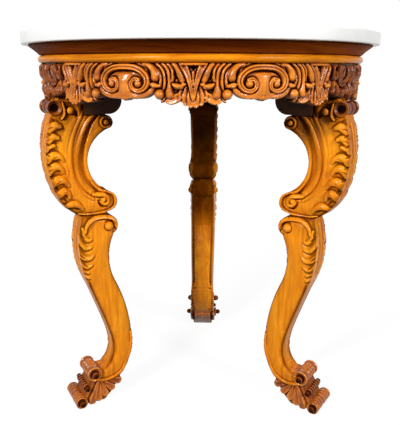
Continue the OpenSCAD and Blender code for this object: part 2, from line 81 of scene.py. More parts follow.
def dome(x):
    """Height of a unit circle over x, and 0 beyond it."""
    return np.sqrt(unit(1 - x**2))


def spline(points, n=10):
    """Catmull-Rom curve through rows of any width."""
    p = np.array(points, float)
    if len(p) == 1:
        return p
    p = np.vstack([2 * p[0] - p[1], p, 2 * p[-1] - p[-2]])
    t = np.linspace(0, 1, n, endpoint=False)[:, None]
    out = []
    for a, b, c, d in zip(p, p[1:], p[2:], p[3:]):
        square, cube = 2 * a - 5 * b + 4 * c - d, 3 * b - a - 3 * c + d
        out.append(0.5 * (2 * b + (c - a) * t + square * t**2 + cube * t**3))
    return np.vstack(out + [p[-2:-1]])


def to_segment(X, Y, a, b):
    """Distance to the segment from a to b, the share of its length there, and the side."""
    ex, ey = b[0] - a[0], b[1] - a[1]
    px, py = X - a[0], Y - a[1]
    t = unit((px * ex + py * ey) / (ex * ex + ey * ey + 1e-9))
    return np.hypot(px - t * ex, py - t * ey), t, np.sign(ex * py - ey * px)


def nearest(X, Y, path):
    """Distance to a path of rows (x, y, half width, height), with its width, height and side there."""
    best = np.full(X.shape, 1e9)
    W, H, S = np.ones(X.shape), np.zeros(X.shape), np.zeros(X.shape)
    if len(path) == 1:
        x, y, w, h = path[0]
        return np.hypot(X - x, Y - y), W * w, W * h, S
    for a, b in zip(path, path[1:]):
        d, t, side = to_segment(X, Y, a, b)
        m = d < best
        best = np.where(m, d, best)
        W = np.where(m, a[2] + (b[2] - a[2]) * t, W)
        H = np.where(m, a[3] + (b[3] - a[3]) * t, H)
        S = np.where(m, side, S)
    return best, W, H, S


# How a stroke rises across its half width: q runs from 0 to 1, and s is the side
SECTIONS = {
    "round": lambda q, s: dome(q),
    "gouge": lambda q, s: np.sqrt(1 - q**10) * (0.62 + 0.38 * q**1.8),
    "band": lambda q, s: np.sqrt(1 - q**6),
    "reed": lambda q, s: np.sqrt(1 - q**8) * (0.66 + 0.34 * np.abs(np.sin(math.pi * q))),
    "rib": lambda q, s: np.sqrt(1 - q**6) * (0.70 + 0.30 * np.cos(3 * math.pi * q) ** 2),
    "lobe": lambda q, s: dome(q) ** 0.8 * (0.86 + 0.14 * s * q),
}
LEAST_WIDTH = 0.3


class Relief:
    """Heights H over a grid, carved stroke by stroke, inside the outline M < 0.
    Each stroke cuts a fine valley round itself. Where grow is set, it widens the outline too."""

    def __init__(self, X, Y, H, M, grow=False):
        self.X, self.Y, self.H, self.M, self.grow = X, Y, H, M, grow

    def stroke(self, points, shape="round", moat=1.8, wide=2.2, side=0):
        d, W, height, S = nearest(self.X, self.Y, spline(points))
        W = np.maximum(W, LEAST_WIDTH)
        valley = unit(1 - np.abs(d - W - wide * 0.5) / wide)
        if side:
            valley = valley * np.where(S * side > 0, 1.0, 0.25)
        ground = self.H - moat * valley
        value = height * SECTIONS[shape](unit(d / W), S)
        self.H = np.where(d / W < 1, np.maximum(value, ground), ground)
        if self.grow:
            self.M = np.minimum(self.M, d - W)

    def ball(self, x, y, r, h, moat=1.5):
        self.stroke([(x, y, r, h)], "round", moat, 1.8)

    def pit(self, points, depth):
        """Sinks a groove through rows of (x, y, half width)."""
        d, W, _, _ = nearest(self.X, self.Y, spline([row + (0,) for row in points]))
        self.H = self.H - depth * np.sqrt(1 - unit(d / np.maximum(W, LEAST_WIDTH)) ** 3) * (d < W)


def smooth(A, n):
    for _ in range(n):
        P = np.pad(A, 1, mode="edge")
        A = (P[:-2, 1:-1] + P[2:, 1:-1] + P[1:-1, :-2] + P[1:-1, 2:] + 2 * A) / 6
    return A


def cavity(H):
    """0.5 on level ground, less in a recess and more on a crest: painted shade in recesses, lighter crests
    as wear and painted highlight.
    """
    fine, broad = H - smooth(H, 5), H - smooth(H, 40)
    return unit(0.5 + fine * 0.10 + broad * 0.10)


# Meshes

def add(name, data):
    ob = bpy.data.objects.new(name, data)
    bpy.context.scene.collection.objects.link(ob)
    return ob


def mesh(name, verts, faces, material, grain, cav, replaces, body="base", slot="walnut"):
    """A piece with its grain's direction and its tone on every point."""
    me = bpy.data.meshes.new(name)
    verts = np.asarray(verts, float) * MM
    me.from_pydata(verts.tolist(), [], [list(map(int, f)) for f in faces])
    me.validate(clean_customdata=False)
    for key, kind, item, v in (("grain", "FLOAT_VECTOR", "vector", grain), ("cav", "FLOAT", "value", cav)):
        layer = me.attributes.new(key, kind, "POINT")
        layer.data.foreach_set(item, np.asarray(v, np.float32).ravel())
    me.polygons.foreach_set("use_smooth", [True] * len(me.polygons))
    ob = add(name, me)
    me.materials.append(material)
    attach(ob, body)
    if replaces:
        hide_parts(*replaces)


def turn(points, degrees):
    a = math.radians(degrees)
    x, y, z = np.transpose(points)
    return np.stack([x * math.cos(a) - y * math.sin(a), x * math.sin(a) + y * math.cos(a), z], -1)


def leg_angle(i):
    return 120 * i - 30


def neighbours(A, mode="constant"):
    """The nine copies of a grid shifted by up to one point."""
    P = np.pad(A, 1, mode=mode)
    rows, cols = A.shape
    return [P[a:a + rows, b:b + cols] for a in range(3) for b in range(3)]


def corners(A):
    """Values at the four corners of each square of a grid, in order round it."""
    return A[:-1, :-1], A[:-1, 1:], A[1:, 1:], A[1:, :-1]


def trimmed(X, Y, M, step):
    """Faces of the grid inside the outline M < 0, with the outer ring of points moved onto it."""
    inside = M < 0
    ring = np.any(neighbours(inside), axis=0) & ~inside
    lean = inside & (M > -0.3 * step)
    gy, gx = np.gradient(M, step)
    g = np.maximum(np.hypot(gx, gy), 0.4)
    move = np.clip(np.where(ring, M, np.where(lean, 0.7 * M, 0)), -0.5 * step, 1.5 * step)
    X, Y = (A - move * G / g**2 * np.minimum(g, 1) for A, G in ((X, gx), (Y, gy)))
    faces = np.stack(corners(np.arange(M.size).reshape(M.shape)), -1)
    keep = np.all(corners(inside | ring), axis=0) & np.any(corners(inside), axis=0)
    # of two faces that meet only at a corner, the lower one goes
    p, q, r, s = corners(np.pad(keep, 1))
    pinch = (p & r & ~q & ~s) | (q & s & ~p & ~r)
    keep = keep & ~pinch[1:, :-1] & ~pinch[1:, 1:]
    return X, Y, faces[keep], (gx / g, gy / g), ring | lean


def border(faces):
    """Directed edges that only one face has."""
    e = np.concatenate([faces[:, [0, 1]], faces[:, [1, 2]], faces[:, [2, 3]], faces[:, [3, 0]]])
    seen = set(map(tuple, e.tolist()))
    return [(a, b) for a, b in seen if (b, a) not in seen]


def compact(verts, faces, *data):
    used = np.unique(np.concatenate([np.ravel(f) for f in faces]))
    table = np.full(len(verts), -1)
    table[used] = np.arange(len(used))
    return verts[used], [table[np.asarray(f)] for f in faces], [np.asarray(x)[used] for x in data]


def ring_heights(H, ring):
    """Heights of the moved points, taken from their neighbours further in."""
    total, count = np.zeros_like(H), np.zeros_like(H)
    for height, solid in zip(neighbours(H, "edge"), neighbours(~ring)):
        total += np.where(solid, height, 0)
        count += solid
    return np.where(ring & (count > 0), total / np.maximum(count, 1), H)


def lathe(profile, n, axis="z", centre=(0, 0, 0), floor=None):
    """Closed revolve of rows (along, radius). Returns points, faces, grain."""
    rows = np.array(profile, float)
    A, K = np.meshgrid(np.linspace(0, 2 * math.pi, n, endpoint=False), np.arange(len(rows)))
    r, t = rows[K, 1], rows[K, 0]
    u, v = r * np.cos(A), r * np.sin(A)
    points, grain = ((u, v, t), (r * A, t, r)) if axis == "z" else ((u, t, v), (t, u, v))
    p = np.stack(points, -1).reshape(-1, 3) + np.array(centre, float)
    if floor is not None:
        p[:, 2] = np.maximum(p[:, 2], floor)
    last = (len(rows) - 1) * n
    faces = [(k + j, k + (j + 1) % n, k + n + (j + 1) % n, k + n + j)
             for k in range(0, last, n) for j in range(n)]
    if rows[0, 1] <= POLE:
        faces += [tuple(range(n))[::-1], tuple(range(last, last + n))]
    if axis != "z":
        faces = [f[::-1] for f in faces]
    return p, faces, np.stack(grain, -1).reshape(-1, 3) * MM


# Materials

def nodes_of(name):
    mat = bpy.data.materials.new(name)
    mat.use_nodes = True
    return mat, mat.node_tree.nodes, mat.node_tree.links, mat.node_tree.nodes["Principled BSDF"]


def put(node, values):
    for key, value in values.items():
        node.inputs[key].default_value = value


def grey(*stops):
    return [(place, (value,) * 3) for place, value in stops]


def ramp(nodes, links, source, stops):
    """Colour that a source's value has between stops (position, colour)."""
    node = nodes.new("ShaderNodeValToRGB")
    while len(node.color_ramp.elements) < len(stops):
        node.color_ramp.elements.new(0.5)
    for element, (place, color) in zip(node.color_ramp.elements, stops):
        element.position = place
        element.color = tuple(color) + (1,)
    links.new(source, node.inputs[0])
    return node.outputs[0]


def attribute(nodes, name, output):
    node = nodes.new("ShaderNodeAttribute")
    node.attribute_name = name
    return node.outputs[output]


def mix(nodes, links, kind, fac, a, b):
    m = nodes.new("ShaderNodeMix")
    m.data_type = "RGBA"
    m.blend_type = kind
    for socket, value in ((m.inputs[0], fac), (m.inputs[6], a), (m.inputs[7], b)):
        if isinstance(value, bpy.types.NodeSocket):
            links.new(value, socket)
        else:
            socket.default_value = value + (1,) if isinstance(value, tuple) else value
    return m.outputs[2]


def grain_texture(nodes, links, source, scale, detail, distortion=0.0):
    mapping = nodes.new("ShaderNodeMapping")
    put(mapping, {"Scale": scale})
    links.new(source, mapping.inputs["Vector"])
    noise = nodes.new("ShaderNodeTexNoise")
    put(noise, {"Scale": 1.0, "Detail": detail, "Roughness": 0.6, "Distortion": distortion})
    links.new(mapping.outputs[0], noise.inputs["Vector"])
    return noise.outputs["Fac"]


def wood(name, dark, mid, light, recess=0.85, rough=0.30, attr=True, shine=0.10, coat=0.04,
         shades=((0.08, 0.10), (0.32, 0.48), (0.45, 0.92), (0.50, 1.0))):
    """Varnished timber: figure, fine grain, pores, painted shade in the recesses and lighter crests, partly
    wear and partly painted highlight.
    """
    mat, nodes, links, bsdf = nodes_of(name)
    if attr:
        source = attribute(nodes, "grain", "Vector")
    else:
        source = nodes.new("ShaderNodeTexCoord").outputs["Object"]
    figure = grain_texture(nodes, links, source, (5, 38, 38), 3.0, 1.4)
    lines = grain_texture(nodes, links, source, (14, 420, 420), 4.0, 0.3)
    pores = grain_texture(nodes, links, source, (60, 1500, 1500), 2.0)
    cloud = grain_texture(nodes, links, source, (9, 9, 9), 2.0, 0.5)
    color = ramp(nodes, links, figure, [(0.30, dark), (0.50, mid), (0.72, light)])
    for noise, share, low_at, tint, high_at in ((lines, 0.40, 0.35, (0.70, 0.58, 0.44), 0.60),
                                                (pores, 0.30, 0.36, (0.42, 0.28, 0.18), 0.44),
                                                (cloud, 0.50, 0.30, (0.78, 0.56, 0.40), 0.62)):
        tinted = ramp(nodes, links, noise, [(low_at, tint), (high_at, (1, 1, 1))])
        color = mix(nodes, links, "MULTIPLY", share, color, tinted)
    polish = ramp(nodes, links, cloud, grey((0.3, rough - 0.06), (0.7, rough + 0.10)))
    put(bsdf, {"Coat Weight": coat, "Coat Roughness": 0.14, "Specular IOR Level": shine})
    if attr:
        cav = attribute(nodes, "cav", "Fac")
        # painted shade in the recesses
        shade = ramp(nodes, links, cav, [(x, (v, v ** 1.35, v ** 1.45)) for x, v in shades])
        color = mix(nodes, links, "MULTIPLY", recess, color, shade)
        # lighter crests: partly wear, partly painted highlight
        crest = ramp(nodes, links, cav, grey((0.66, 0), (1.0, 0.40)))
        wear_and_highlight = (min(1.0, light[0] * 1.10 + 0.08), light[1] * 1.15 + 0.04, light[2] + 0.02)
        color = mix(nodes, links, "MIX", crest, color, wear_and_highlight)
        # the polish doesn't reach into the recesses
        dull = ramp(nodes, links, cav, grey((0.34, 1), (0.47, 0)))
        polish = mix(nodes, links, "MIX", dull, polish, (0.7, 0.7, 0.7))
        for key, most in (("Specular IOR Level", shine), ("Coat Weight", coat)):
            level = ramp(nodes, links, cav, grey((0.34, most * 0.12), (0.47, most)))
            links.new(level, bsdf.inputs[key])
    links.new(color, bsdf.inputs["Base Color"])
    links.new(polish, bsdf.inputs["Roughness"])
    bump = nodes.new("ShaderNodeBump")
    put(bump, {"Strength": 0.25, "Distance": 0.0005})
    links.new(lines, bump.inputs["Height"])
    links.new(bump.outputs[0], bsdf.inputs["Normal"])
    return mat


WALNUT = wood("walnut", (0.52, 0.148, 0.004), (0.80, 0.266, 0.005), (0.97, 0.390, 0.014),
              rough=0.24, shine=0.11, coat=0.06,
              shades=((0.08, 0.03), (0.28, 0.20), (0.40, 0.72), (0.475, 1.0)))
CARVED = wood("walnut_carved", (0.30, 0.076, 0.005), (0.56, 0.160, 0.008), (0.76, 0.268, 0.014),
              recess=0.98, rough=0.27, shine=0.27, coat=0.17,
              shades=((0.06, 0.02), (0.28, 0.13), (0.46, 0.60), (0.60, 1.0)))
# darker copy of the carved walnut, as painted shade on the corner clusters; the knuckles take it too
CLUSTER = wood("walnut_corner", (0.15, 0.032, 0.003), (0.28, 0.068, 0.004), (0.41, 0.120, 0.007),
               recess=0.98, rough=0.30, shine=0.15, coat=0.08,
               shades=((0.06, 0.02), (0.26, 0.10), (0.46, 0.55), (0.60, 1.0)))
DARK = wood("walnut_dark", (0.160, 0.031, 0.003), (0.265, 0.060, 0.004), (0.36, 0.090, 0.007),
            rough=0.50, shine=0.010, coat=0.0)
BEAD = wood("walnut_light", (0.44, 0.125, 0.004), (0.70, 0.240, 0.007), (0.88, 0.37, 0.014),
            rough=0.22, shine=0.05, coat=0.02)
BLOCK = wood("walnut_block", (0.030, 0.009, 0.003), (0.060, 0.018, 0.006), (0.095, 0.030, 0.010),
             attr=False, rough=0.4)
PINE = wood("beech", (0.30, 0.185, 0.085), (0.44, 0.295, 0.145), (0.54, 0.385, 0.205),
            attr=False, rough=0.6, coat=0.0)


def marble_material():
    mat, nodes, links, bsdf = nodes_of("marble")
    source = nodes.new("ShaderNodeTexCoord").outputs["Object"]
    cloud = grain_texture(nodes, links, source, (7, 7, 7), 6.0, 1.2)
    vein = grain_texture(nodes, links, source, (4, 9, 9), 8.0, 3.2)
    base = ramp(nodes, links, cloud, [(0.30, (0.67, 0.665, 0.645)), (0.50, (0.71, 0.706, 0.69)),
                                      (0.70, (0.73, 0.73, 0.72))])
    lines = ramp(nodes, links, vein, [(0.46, (1, 1, 1)), (0.495, (0.90, 0.895, 0.88)), (0.53, (1, 1, 1))])
    links.new(mix(nodes, links, "MULTIPLY", 0.35, base, lines), bsdf.inputs["Base Color"])
    put(bsdf, {"Coat Weight": 0.25, "Coat Roughness": 0.15})
    links.new(ramp(nodes, links, cloud, grey((0.3, 0.28), (0.7, 0.42))), bsdf.inputs["Roughness"])
    return mat


def steel_material():
    mat, nodes, links, bsdf = nodes_of("steel")
    source = nodes.new("ShaderNodeTexCoord").outputs["Object"]
    cloud = grain_texture(nodes, links, source, (300, 300, 60), 3.0)
    base = ramp(nodes, links, cloud, [(0.3, (0.40, 0.40, 0.41)), (0.7, (0.60, 0.60, 0.61))])
    links.new(base, bsdf.inputs["Base Color"])
    put(bsdf, {"Metallic": 0.95, "Roughness": 0.35})
    return mat


MARBLE, STEEL = marble_material(), steel_material()


# Slab and mouldings

def arc_rows(x0, z0, r, a0, a1, n):
    return [(z0 + r * math.sin(math.radians(a)), x0 + r * math.cos(math.radians(a)))
            for a in np.linspace(a0, a1, n)]


def lathe_piece(name, profile, node, body, slot, material):
    p, f, g = lathe(profile, RING_SIDES)
    mesh(name, p, f, material, g, np.full(len(p), 0.5), (node,), body, slot)


slab = [(SLAB_Z, r) for r in (POLE, 150, 300, 345, 351)]
slab += arc_rows(SLAB_R - SLAB_EDGE, SLAB_Z + SLAB_EDGE, SLAB_EDGE, -90, 0, 6)
slab += arc_rows(SLAB_R - SLAB_EDGE, TABLE_H - SLAB_EDGE, SLAB_EDGE, 0, 90, 6)
slab += [(TABLE_H, r) for r in (351, 345, 300, 150, POLE)]
lathe_piece("slab_top", slab, "marble_top", "slab", "marble", MARBLE)

cornice = [(BEAD_TOP, RING_IN), (BEAD_TOP, CORNICE_FOOT - 2.5), (BEAD_TOP + 0.2, CORNICE_FOOT - 0.2)]
for f in np.linspace(0.05, 1, 10):
    cornice.append((BEAD_TOP + 16.5 * f, CORNICE_FOOT + 19.5 * (f**1.35 * 0.55 + f * 0.45)))
cornice += [(731.6, 342), (SLAB_Z, 341.6), (SLAB_Z, RING_IN), (BEAD_TOP, RING_IN)]
lathe_piece("cornice_ring", cornice, "cornice_moulding", "base", "walnut_dark", DARK)

bead = [(RAIL_TOP, RING_IN), (RAIL_TOP, 317.0), (RAIL_TOP + 0.3, 318.4)]
bead += arc_rows(318.8, 706.0, 6.8, -84, 78, 18)
bead += [(712.7, 317.4), (713.4, 316.6), (BEAD_TOP, 316.4), (BEAD_TOP, RING_IN), (RAIL_TOP, RING_IN)]
lathe_piece("bead_ring", bead, "bead_moulding", "base", "walnut_light", BEAD)


# Carved apron

def carve_tile(R):
    """Palmette at x = 0 and cartouche at x = BAY; y is 0 at the rail's top edge."""
    c = BAY
    # leaf tips behind, then the fronds, from the cartouche's side to the palmette's
    R.stroke([(17, -43, 3, 5), (22, -50.5, 5.8, 7.4), (29.5, -56, 6.6, 7.8), (36.5, -59, 5.6, 7.2),
              (41.5, -59.5, 3.6, 5.8)], "gouge", 1.4)
    R.stroke([(47, -52, 3, 5), (50, -57, 2.6, 5), (52, -61, 1, 3.5)], "gouge", 1.2)
    R.stroke([(92, -1.2, 2.4, 6), (83, -3.6, 3, 8), (76.5, -8.5, 3, 8.4), (73.8, -15.5, 2.6, 8),
              (74.4, -23, 1.8, 6)], "lobe", 1.6, 1.6)
    R.stroke([(66, -4, 2.8, 6), (57.5, -10, 3.2, 8), (53.2, -18, 3.2, 8.4), (52, -27, 3, 8.2),
              (53.4, -37, 2.4, 7)], "lobe", 1.8, 1.7)
    R.stroke([(58, -1.5, 2.8, 6.5), (50.5, -7, 3.3, 8.6), (46.2, -15, 3.3, 9), (44.6, -26, 3.2, 8.6),
              (45.6, -36, 2.8, 7.8), (48, -42, 1.8, 6)], "lobe", 1.8, 1.7)
    R.stroke([(49, -1.2, 3, 6.5), (42.4, -7, 3.5, 9), (38.8, -16, 3.4, 9.4), (37.4, -27, 3.5, 9.2),
              (37.4, -36, 4.4, 9.2), (38.2, -44, 6.4, 9.8), (37.4, -49, 6.8, 9.8)], "round", 1.8, 1.7)
    R.stroke([(40, -1.4, 3, 6.5), (34.4, -7, 3.2, 8.8), (32.2, -15, 2.7, 9), (32.4, -24, 2.4, 8),
              (33.6, -30, 1.6, 6.5)], "lobe", 1.8, 1.7)
    # broad leaf beside the palmette, its curled end and the drop hole
    R.stroke([(31, -2.2, 3.8, 8), (25.4, -8, 5.2, 9.6), (20.6, -17, 6.2, 10.2), (17.6, -26, 5, 9.2),
              (16.4, -32, 3, 7.6)], "round", 1.8, 1.7)
    R.stroke([(13.6, -33.4, 3.4, 8.4), (20, -36.6, 4.9, 9.8), (27.4, -35.6, 4.8, 9.8),
              (32, -33, 2.6, 8.2)], "round", 2, 1.8)
    R.pit([(29.4, -11.5, 1.5), (28.6, -17, 2.6), (27.2, -23.5, 1.9)], 10)
    # palmette: shell, two broad arms that run together, mouth and hollow between them
    R.stroke([(16.5, -41, 4, 5), (18.6, -49, 5, 7.2), (18.2, -56.5, 4.2, 6.6)], "gouge", 1.6)
    R.stroke([(9.5, -40, 4.4, 5), (12.4, -52, 5.4, 8.2), (12.2, -61.5, 4.4, 7.2)], "gouge", 1.6)
    R.stroke([(2.6, -40, 4.4, 6), (4.4, -54, 5.2, 9), (4.2, -64.5, 4.6, 8)], "gouge", 1.8)
    R.stroke([(17.4, -1.4, 5.4, 9.4), (14.4, -6, 5.6, 10.4), (10.6, -14, 4.9, 10.8),
              (7.4, -23, 4.1, 10.4), (5, -32, 3.3, 9.8), (3, -42, 2.6, 9.2), (1.8, -52, 1.8, 8.4),
              (0.6, -58, 1, 7)], "gouge", 2.2, 1.9)
    R.stroke([(-2, -2.4, 2.6, 8.8), (8, -2.4, 2.8, 9.4), (18, -2.2, 2.6, 9.4)], "round", 0.8)
    R.pit([(0, -7.6, 4.6), (0, -10.4, 2.4)], 4.5)
    R.stroke([(0, -15, 2.8, 5), (0, -25, 2, 6.2), (0, -36, 1, 7.2)], "band", 0.6, 1.2)
    # hook, balls
    R.stroke([(80, -1.6, 3.4, 7), (70.5, -5, 4.8, 9.4), (63.8, -11.5, 5.8, 10.6), (61.2, -18, 7, 11.2),
              (61, -22.4, 7.2, 11.4)], "round", 2.2, 2)
    R.stroke([(69, -33, 3.6, 8.4), (62.6, -35.2, 5, 9.6), (56.8, -35.8, 3.4, 8.2)], "round", 2.2, 1.8)
    R.ball(54.4, -48.6, 8.4, 11.2, 2.2)
    # cartouche: lip, bossed field, C-scroll with its eyes
    R.stroke([(c - 50, -37.5, 2.6, 5), (c - 43, -44.5, 4.6, 7.5), (c - 32, -49.6, 5.6, 8.2),
              (c - 20, -50.8, 5.4, 8.2), (c - 10, -50.4, 5.6, 8.6), (c - 4, -52.6, 5.2, 9),
              (c + 1, -56, 3.4, 8.4)], "rib", 1.4)
    u = np.abs(R.X - c)
    field = (u < 34) & (R.Y < -7) & (R.Y > -50)
    bulge = 5.4 * dome(u / 34) * dome((R.Y + 28) / 25)
    half = np.interp(-R.Y, [12, 17, 24, 34, 42, 50, 58], [3.0, 15.0, 12.5, 11.5, 13.5, 15.0, 3.0])
    boss = np.interp(-R.Y, [12, 18, 26, 38, 48, 58], [0, 4.6, 6.4, 7.4, 6.8, 3.0])
    boss = boss * dome(u / half)
    R.H = np.where(field, np.maximum(R.H, bulge), R.H)
    R.H = np.where(u < half, np.maximum(R.H, bulge * 0.75 + boss), R.H)
    R.H += 1.2 * np.exp(-(u / 1.8) ** 2) * unit((-R.Y - 22) / 8) * (R.Y > -56)
    R.stroke([(c + 8, -6.4, 5, 10.2), (c - 7, -6.4, 5, 10.2), (c - 20, -8.2, 5.1, 10.4),
              (c - 31, -13.6, 5.2, 10.6), (c - 38.2, -22.5, 5.2, 10.6), (c - 38.8, -32.4, 4.9, 10.4),
              (c - 32.6, -40.6, 4.4, 10), (c - 23, -43.4, 3.8, 9.4), (c - 14.6, -39.8, 3.4, 9.4),
              (c - 12.6, -31.6, 3.4, 9.8), (c - 18, -25.2, 3.6, 10.4), (c - 25, -26.4, 3.4, 10.8)],
             "reed", 2.4, 2)
    R.ball(c - 23.4, -32.0, 6.6, 11.6, 1.2)


def rounded(H, M, width):
    """Rounds the heights down to the outline over a width."""
    return H - width * (1 - dome(1 - unit(-M / width)))


def slope(H, step):
    gy, gx = np.gradient(smooth(H, 1), step)
    return np.minimum(np.hypot(gx, gy), 1.6)


def on_rail(u, v, h, angle):
    """Points at u millimetres along the rail, v above its top edge and h out from its face."""
    a = np.radians(u / ARC + angle)
    r = RAIL_R + h
    return np.stack([r * np.cos(a), r * np.sin(a), RAIL_TOP + v], -1)


def sheet(name, R, step, angle, back, material, node, edge=2.2, gain=1.0, tone=0.0, cap=1.0):
    """A carved sheet bent round the rail at an angle; back(v) is where its rear face lies."""
    # tone of every point: painted shade in the recesses and on steep sides, lighter crests as wear and
    # painted highlight
    cav = np.clip(0.5 + tone + (cavity(R.H) - 0.5) * gain - STEEP_SIDE_SHADE * slope(R.H, step), 0, cap)
    X, Y, faces, _, ring = trimmed(R.X, R.Y, R.M, step)
    H = ring_heights(rounded(R.H, R.M, edge), ring) - np.where(ring, RIM_DROP, 0)
    cav = np.where(ring, RIM_TONE, cav).ravel()
    x, y, h = X.ravel(), Y.ravel(), H.ravel()
    n = len(x)
    edges = np.array(border(faces))
    walls = np.stack([edges[:, 1], edges[:, 0], edges[:, 0] + n, edges[:, 1] + n], 1)
    verts = np.vstack([on_rail(x, y, h, angle), on_rail(x, y, back(y), angle)])
    grain = np.tile(np.stack([x, y, h], -1) * MM, (2, 1))
    verts, parts, data = compact(verts, [faces, faces[:, ::-1] + n, walls], grain,
                                 np.concatenate([cav, np.full(n, BACK_TONE)]))
    mesh(name, verts, np.vstack(parts), material, *data, (node,))


rows_y = np.linspace(-APRON_DEEP, 0, int(APRON_DEEP / STEP) + 1)
TX, TY = np.meshgrid(np.arange(TILE + 1) * STEP, rows_y)
foot_line = np.interp(TX, [0, 22, 30, 60, 66, BAY - 38, BAY - 24, BAY],
                      [-52, -50, -46, -46, -43, -46, -49.5, -52])
tile = Relief(TX, TY, np.ones(TX.shape), foot_line - TY, grow=True)
carve_tile(tile)
tile.M = np.maximum(tile.M, TY)
tile.H = np.clip(tile.H, -4.5, 11.6)

# a panel is the tile, mirrored at every palmette and cartouche
cols = int((PANEL_HALF - 0.05) * ARC / STEP)
k = np.arange(-cols, cols + 1)
index = np.abs((k + TILE) % (2 * TILE) - TILE)
PX, PY = np.meshgrid(k * STEP, rows_y)
panel_H, panel_M = tile.H[:, index], tile.M[:, index]
# painted light: the cartouche's field is brighter than the leaves
panel_painted_light = 0.27 * np.exp(-((TX - BAY) / 26) ** 2 - ((TY + 34) / 20) ** 2)[:, index]
# painted reflection of the pale floor: the leaf tips lighter towards the apron's foot
panel_painted_light += 0.10 * unit((-TY - 40) / 14)[:, index]
# the carving stays low under the corner clusters
under = unit((np.abs(PX) - 252) / 8)
panel_H = panel_H * (1 - under) + np.minimum(panel_H, 1.0) * under
panel_M = np.where(np.abs(PX) > 260, np.maximum(panel_M, -44.5 - PY), panel_M)
panel_M = np.maximum(panel_M, np.abs(PX) - PANEL_HALF * ARC)
panel = Relief(PX, PY, panel_H, panel_M)
for i in (1, 2, 3):
    sheet("apron_carved_%d" % i, panel, STEP, leg_angle(i) + 60,
          lambda v: np.where(v > RAIL_FOOT, RAIL_IN - RAIL_R, TIP_BACK), CARVED,
          "apron_rail_%d" % i, tone=panel_painted_light, cap=0.90)


# Corner clusters

CX, CY = np.meshgrid(np.arange(-76, 77) * 1.0, np.linspace(-68, -2, 67))
corner = Relief(CX, CY, np.full(CX.shape, 0.6), np.maximum(-43 - CY, np.abs(CX) - 70), grow=True)
for s in (-1, 1):
    # round lobes that hang over the leg
    for x, y, w in ((66, -41, 6.0), (51, -45, 7.0), (33, -47, 7.6), (14, -44, 7.0)):
        corner.stroke([(s * (x - 2), y + 9, w * 0.6, 6), (s * x, y, w, 10),
                       (s * (x + 2), y - 6, w * 0.8, 9)], "round", 3.4, 2.6)
    # curled ribbon at the end, open in the middle
    corner.stroke([(s * 60, -2.4, 3, 8), (s * 70, -4, 4.2, 10.5), (s * 74.5, -11, 4.6, 11.5),
                   (s * 73, -20.5, 4.6, 11.5), (s * 66.5, -26, 4.2, 11), (s * 60, -22, 3.8, 10.5),
                   (s * 60, -15, 3.2, 9.5)], "round", 3.2, 2.4)
    # almond leaf of two limbs that meet below a deep drop hole
    corner.stroke([(s * 31, -2.4, 3.8, 8), (s * 45, -5, 5.6, 11), (s * 51.6, -13, 6, 12),
                   (s * 48, -24, 6, 12), (s * 40, -32, 5.2, 11), (s * 31, -37, 3.8, 9)], "gouge", 3.4, 2.6)
    corner.stroke([(s * 19, -2.4, 3.8, 8), (s * 14.6, -10, 5.4, 11.5), (s * 15.6, -21, 5.8, 12),
                   (s * 23, -31, 5.6, 11.5), (s * 33, -35.6, 4.4, 10)], "gouge", 3.4, 2.6)
    corner.stroke([(s * 27, -7, 2.6, 5), (s * 31, -17, 3.4, 6.5), (s * 36, -27, 2.6, 6.5)], "round", 2, 2)
    corner.pit([(s * 37, -12.5, 2.2), (s * 39.4, -18, 3.4), (s * 38.4, -24.5, 2)], 10)
    corner.pit([(s * 67, -12, 1.6), (s * 67, -16.5, 2.4), (s * 66.6, -19.5, 1.4)], 8)
corner.stroke([(0, -3, 4, 8.5), (0, -16, 5.4, 11.6), (0, -30, 5.8, 12), (0, -43, 6.4, 11),
               (0, -54, 5, 10), (0, -64, 1.8, 6)], "round", 3.6, 2.6)
# the cluster swells at its shoulder, draws in and swells again over the leg
swell = np.interp(-CY, [0, 4, 12, 21, 28, 34, 40, 47, 56, 68],
                  [0.8, 2.8, 3.4, 2.6, 0.2, -2.6, -0.6, 1.8, 1.8, 0.2])
corner.H = np.clip(swell + 0.78 * corner.H, -3.5, 12.0)
corner.M = np.maximum(np.maximum(corner.M, np.abs(CX) - 75.5), CY + 2.4)
# painted shade: the clusters are darker overall and their crests lighten less
for i in (1, 2, 3):
    sheet("corner_leaves_%d" % i, corner, 1.0, leg_angle(i), lambda v: np.full(v.shape, CLUSTER_BACK),
          CLUSTER, "corner_carving_%d" % i, edge=2.6, gain=1.2, tone=-0.03, cap=0.58)


# Legs

def arc3(a, b, c, n):
    """Points of the arc from a through b to c."""
    d = 2 * (a[0] * (b[1] - c[1]) + b[0] * (c[1] - a[1]) + c[0] * (a[1] - b[1]))
    q = [p[0] ** 2 + p[1] ** 2 for p in (a, b, c)]
    ux = (q[0] * (b[1] - c[1]) + q[1] * (c[1] - a[1]) + q[2] * (a[1] - b[1])) / d
    uy = (q[0] * (c[0] - b[0]) + q[1] * (a[0] - c[0]) + q[2] * (b[0] - a[0])) / d
    r = math.hypot(a[0] - ux, a[1] - uy)
    a0, a1 = math.atan2(a[1] - uy, a[0] - ux), math.atan2(c[1] - uy, c[0] - ux)
    t = (a1 - a0 + 3 * math.pi) % (2 * math.pi) - math.pi
    return [(ux + r * math.cos(a0 + t * k / n), uy + r * math.sin(a0 + t * k / n)) for k in range(n + 1)]


def at(inset, z):
    """Point of a leg, inset from its reach."""
    return (REACH - inset, z)


def low(f):
    """Height at a share of the lower scroll; upp does the same for the upper one."""
    return ROLLER_Z + f * (NECK - ROLLER_Z)


def upp(f):
    return NECK + f * (SHOULDER - NECK)


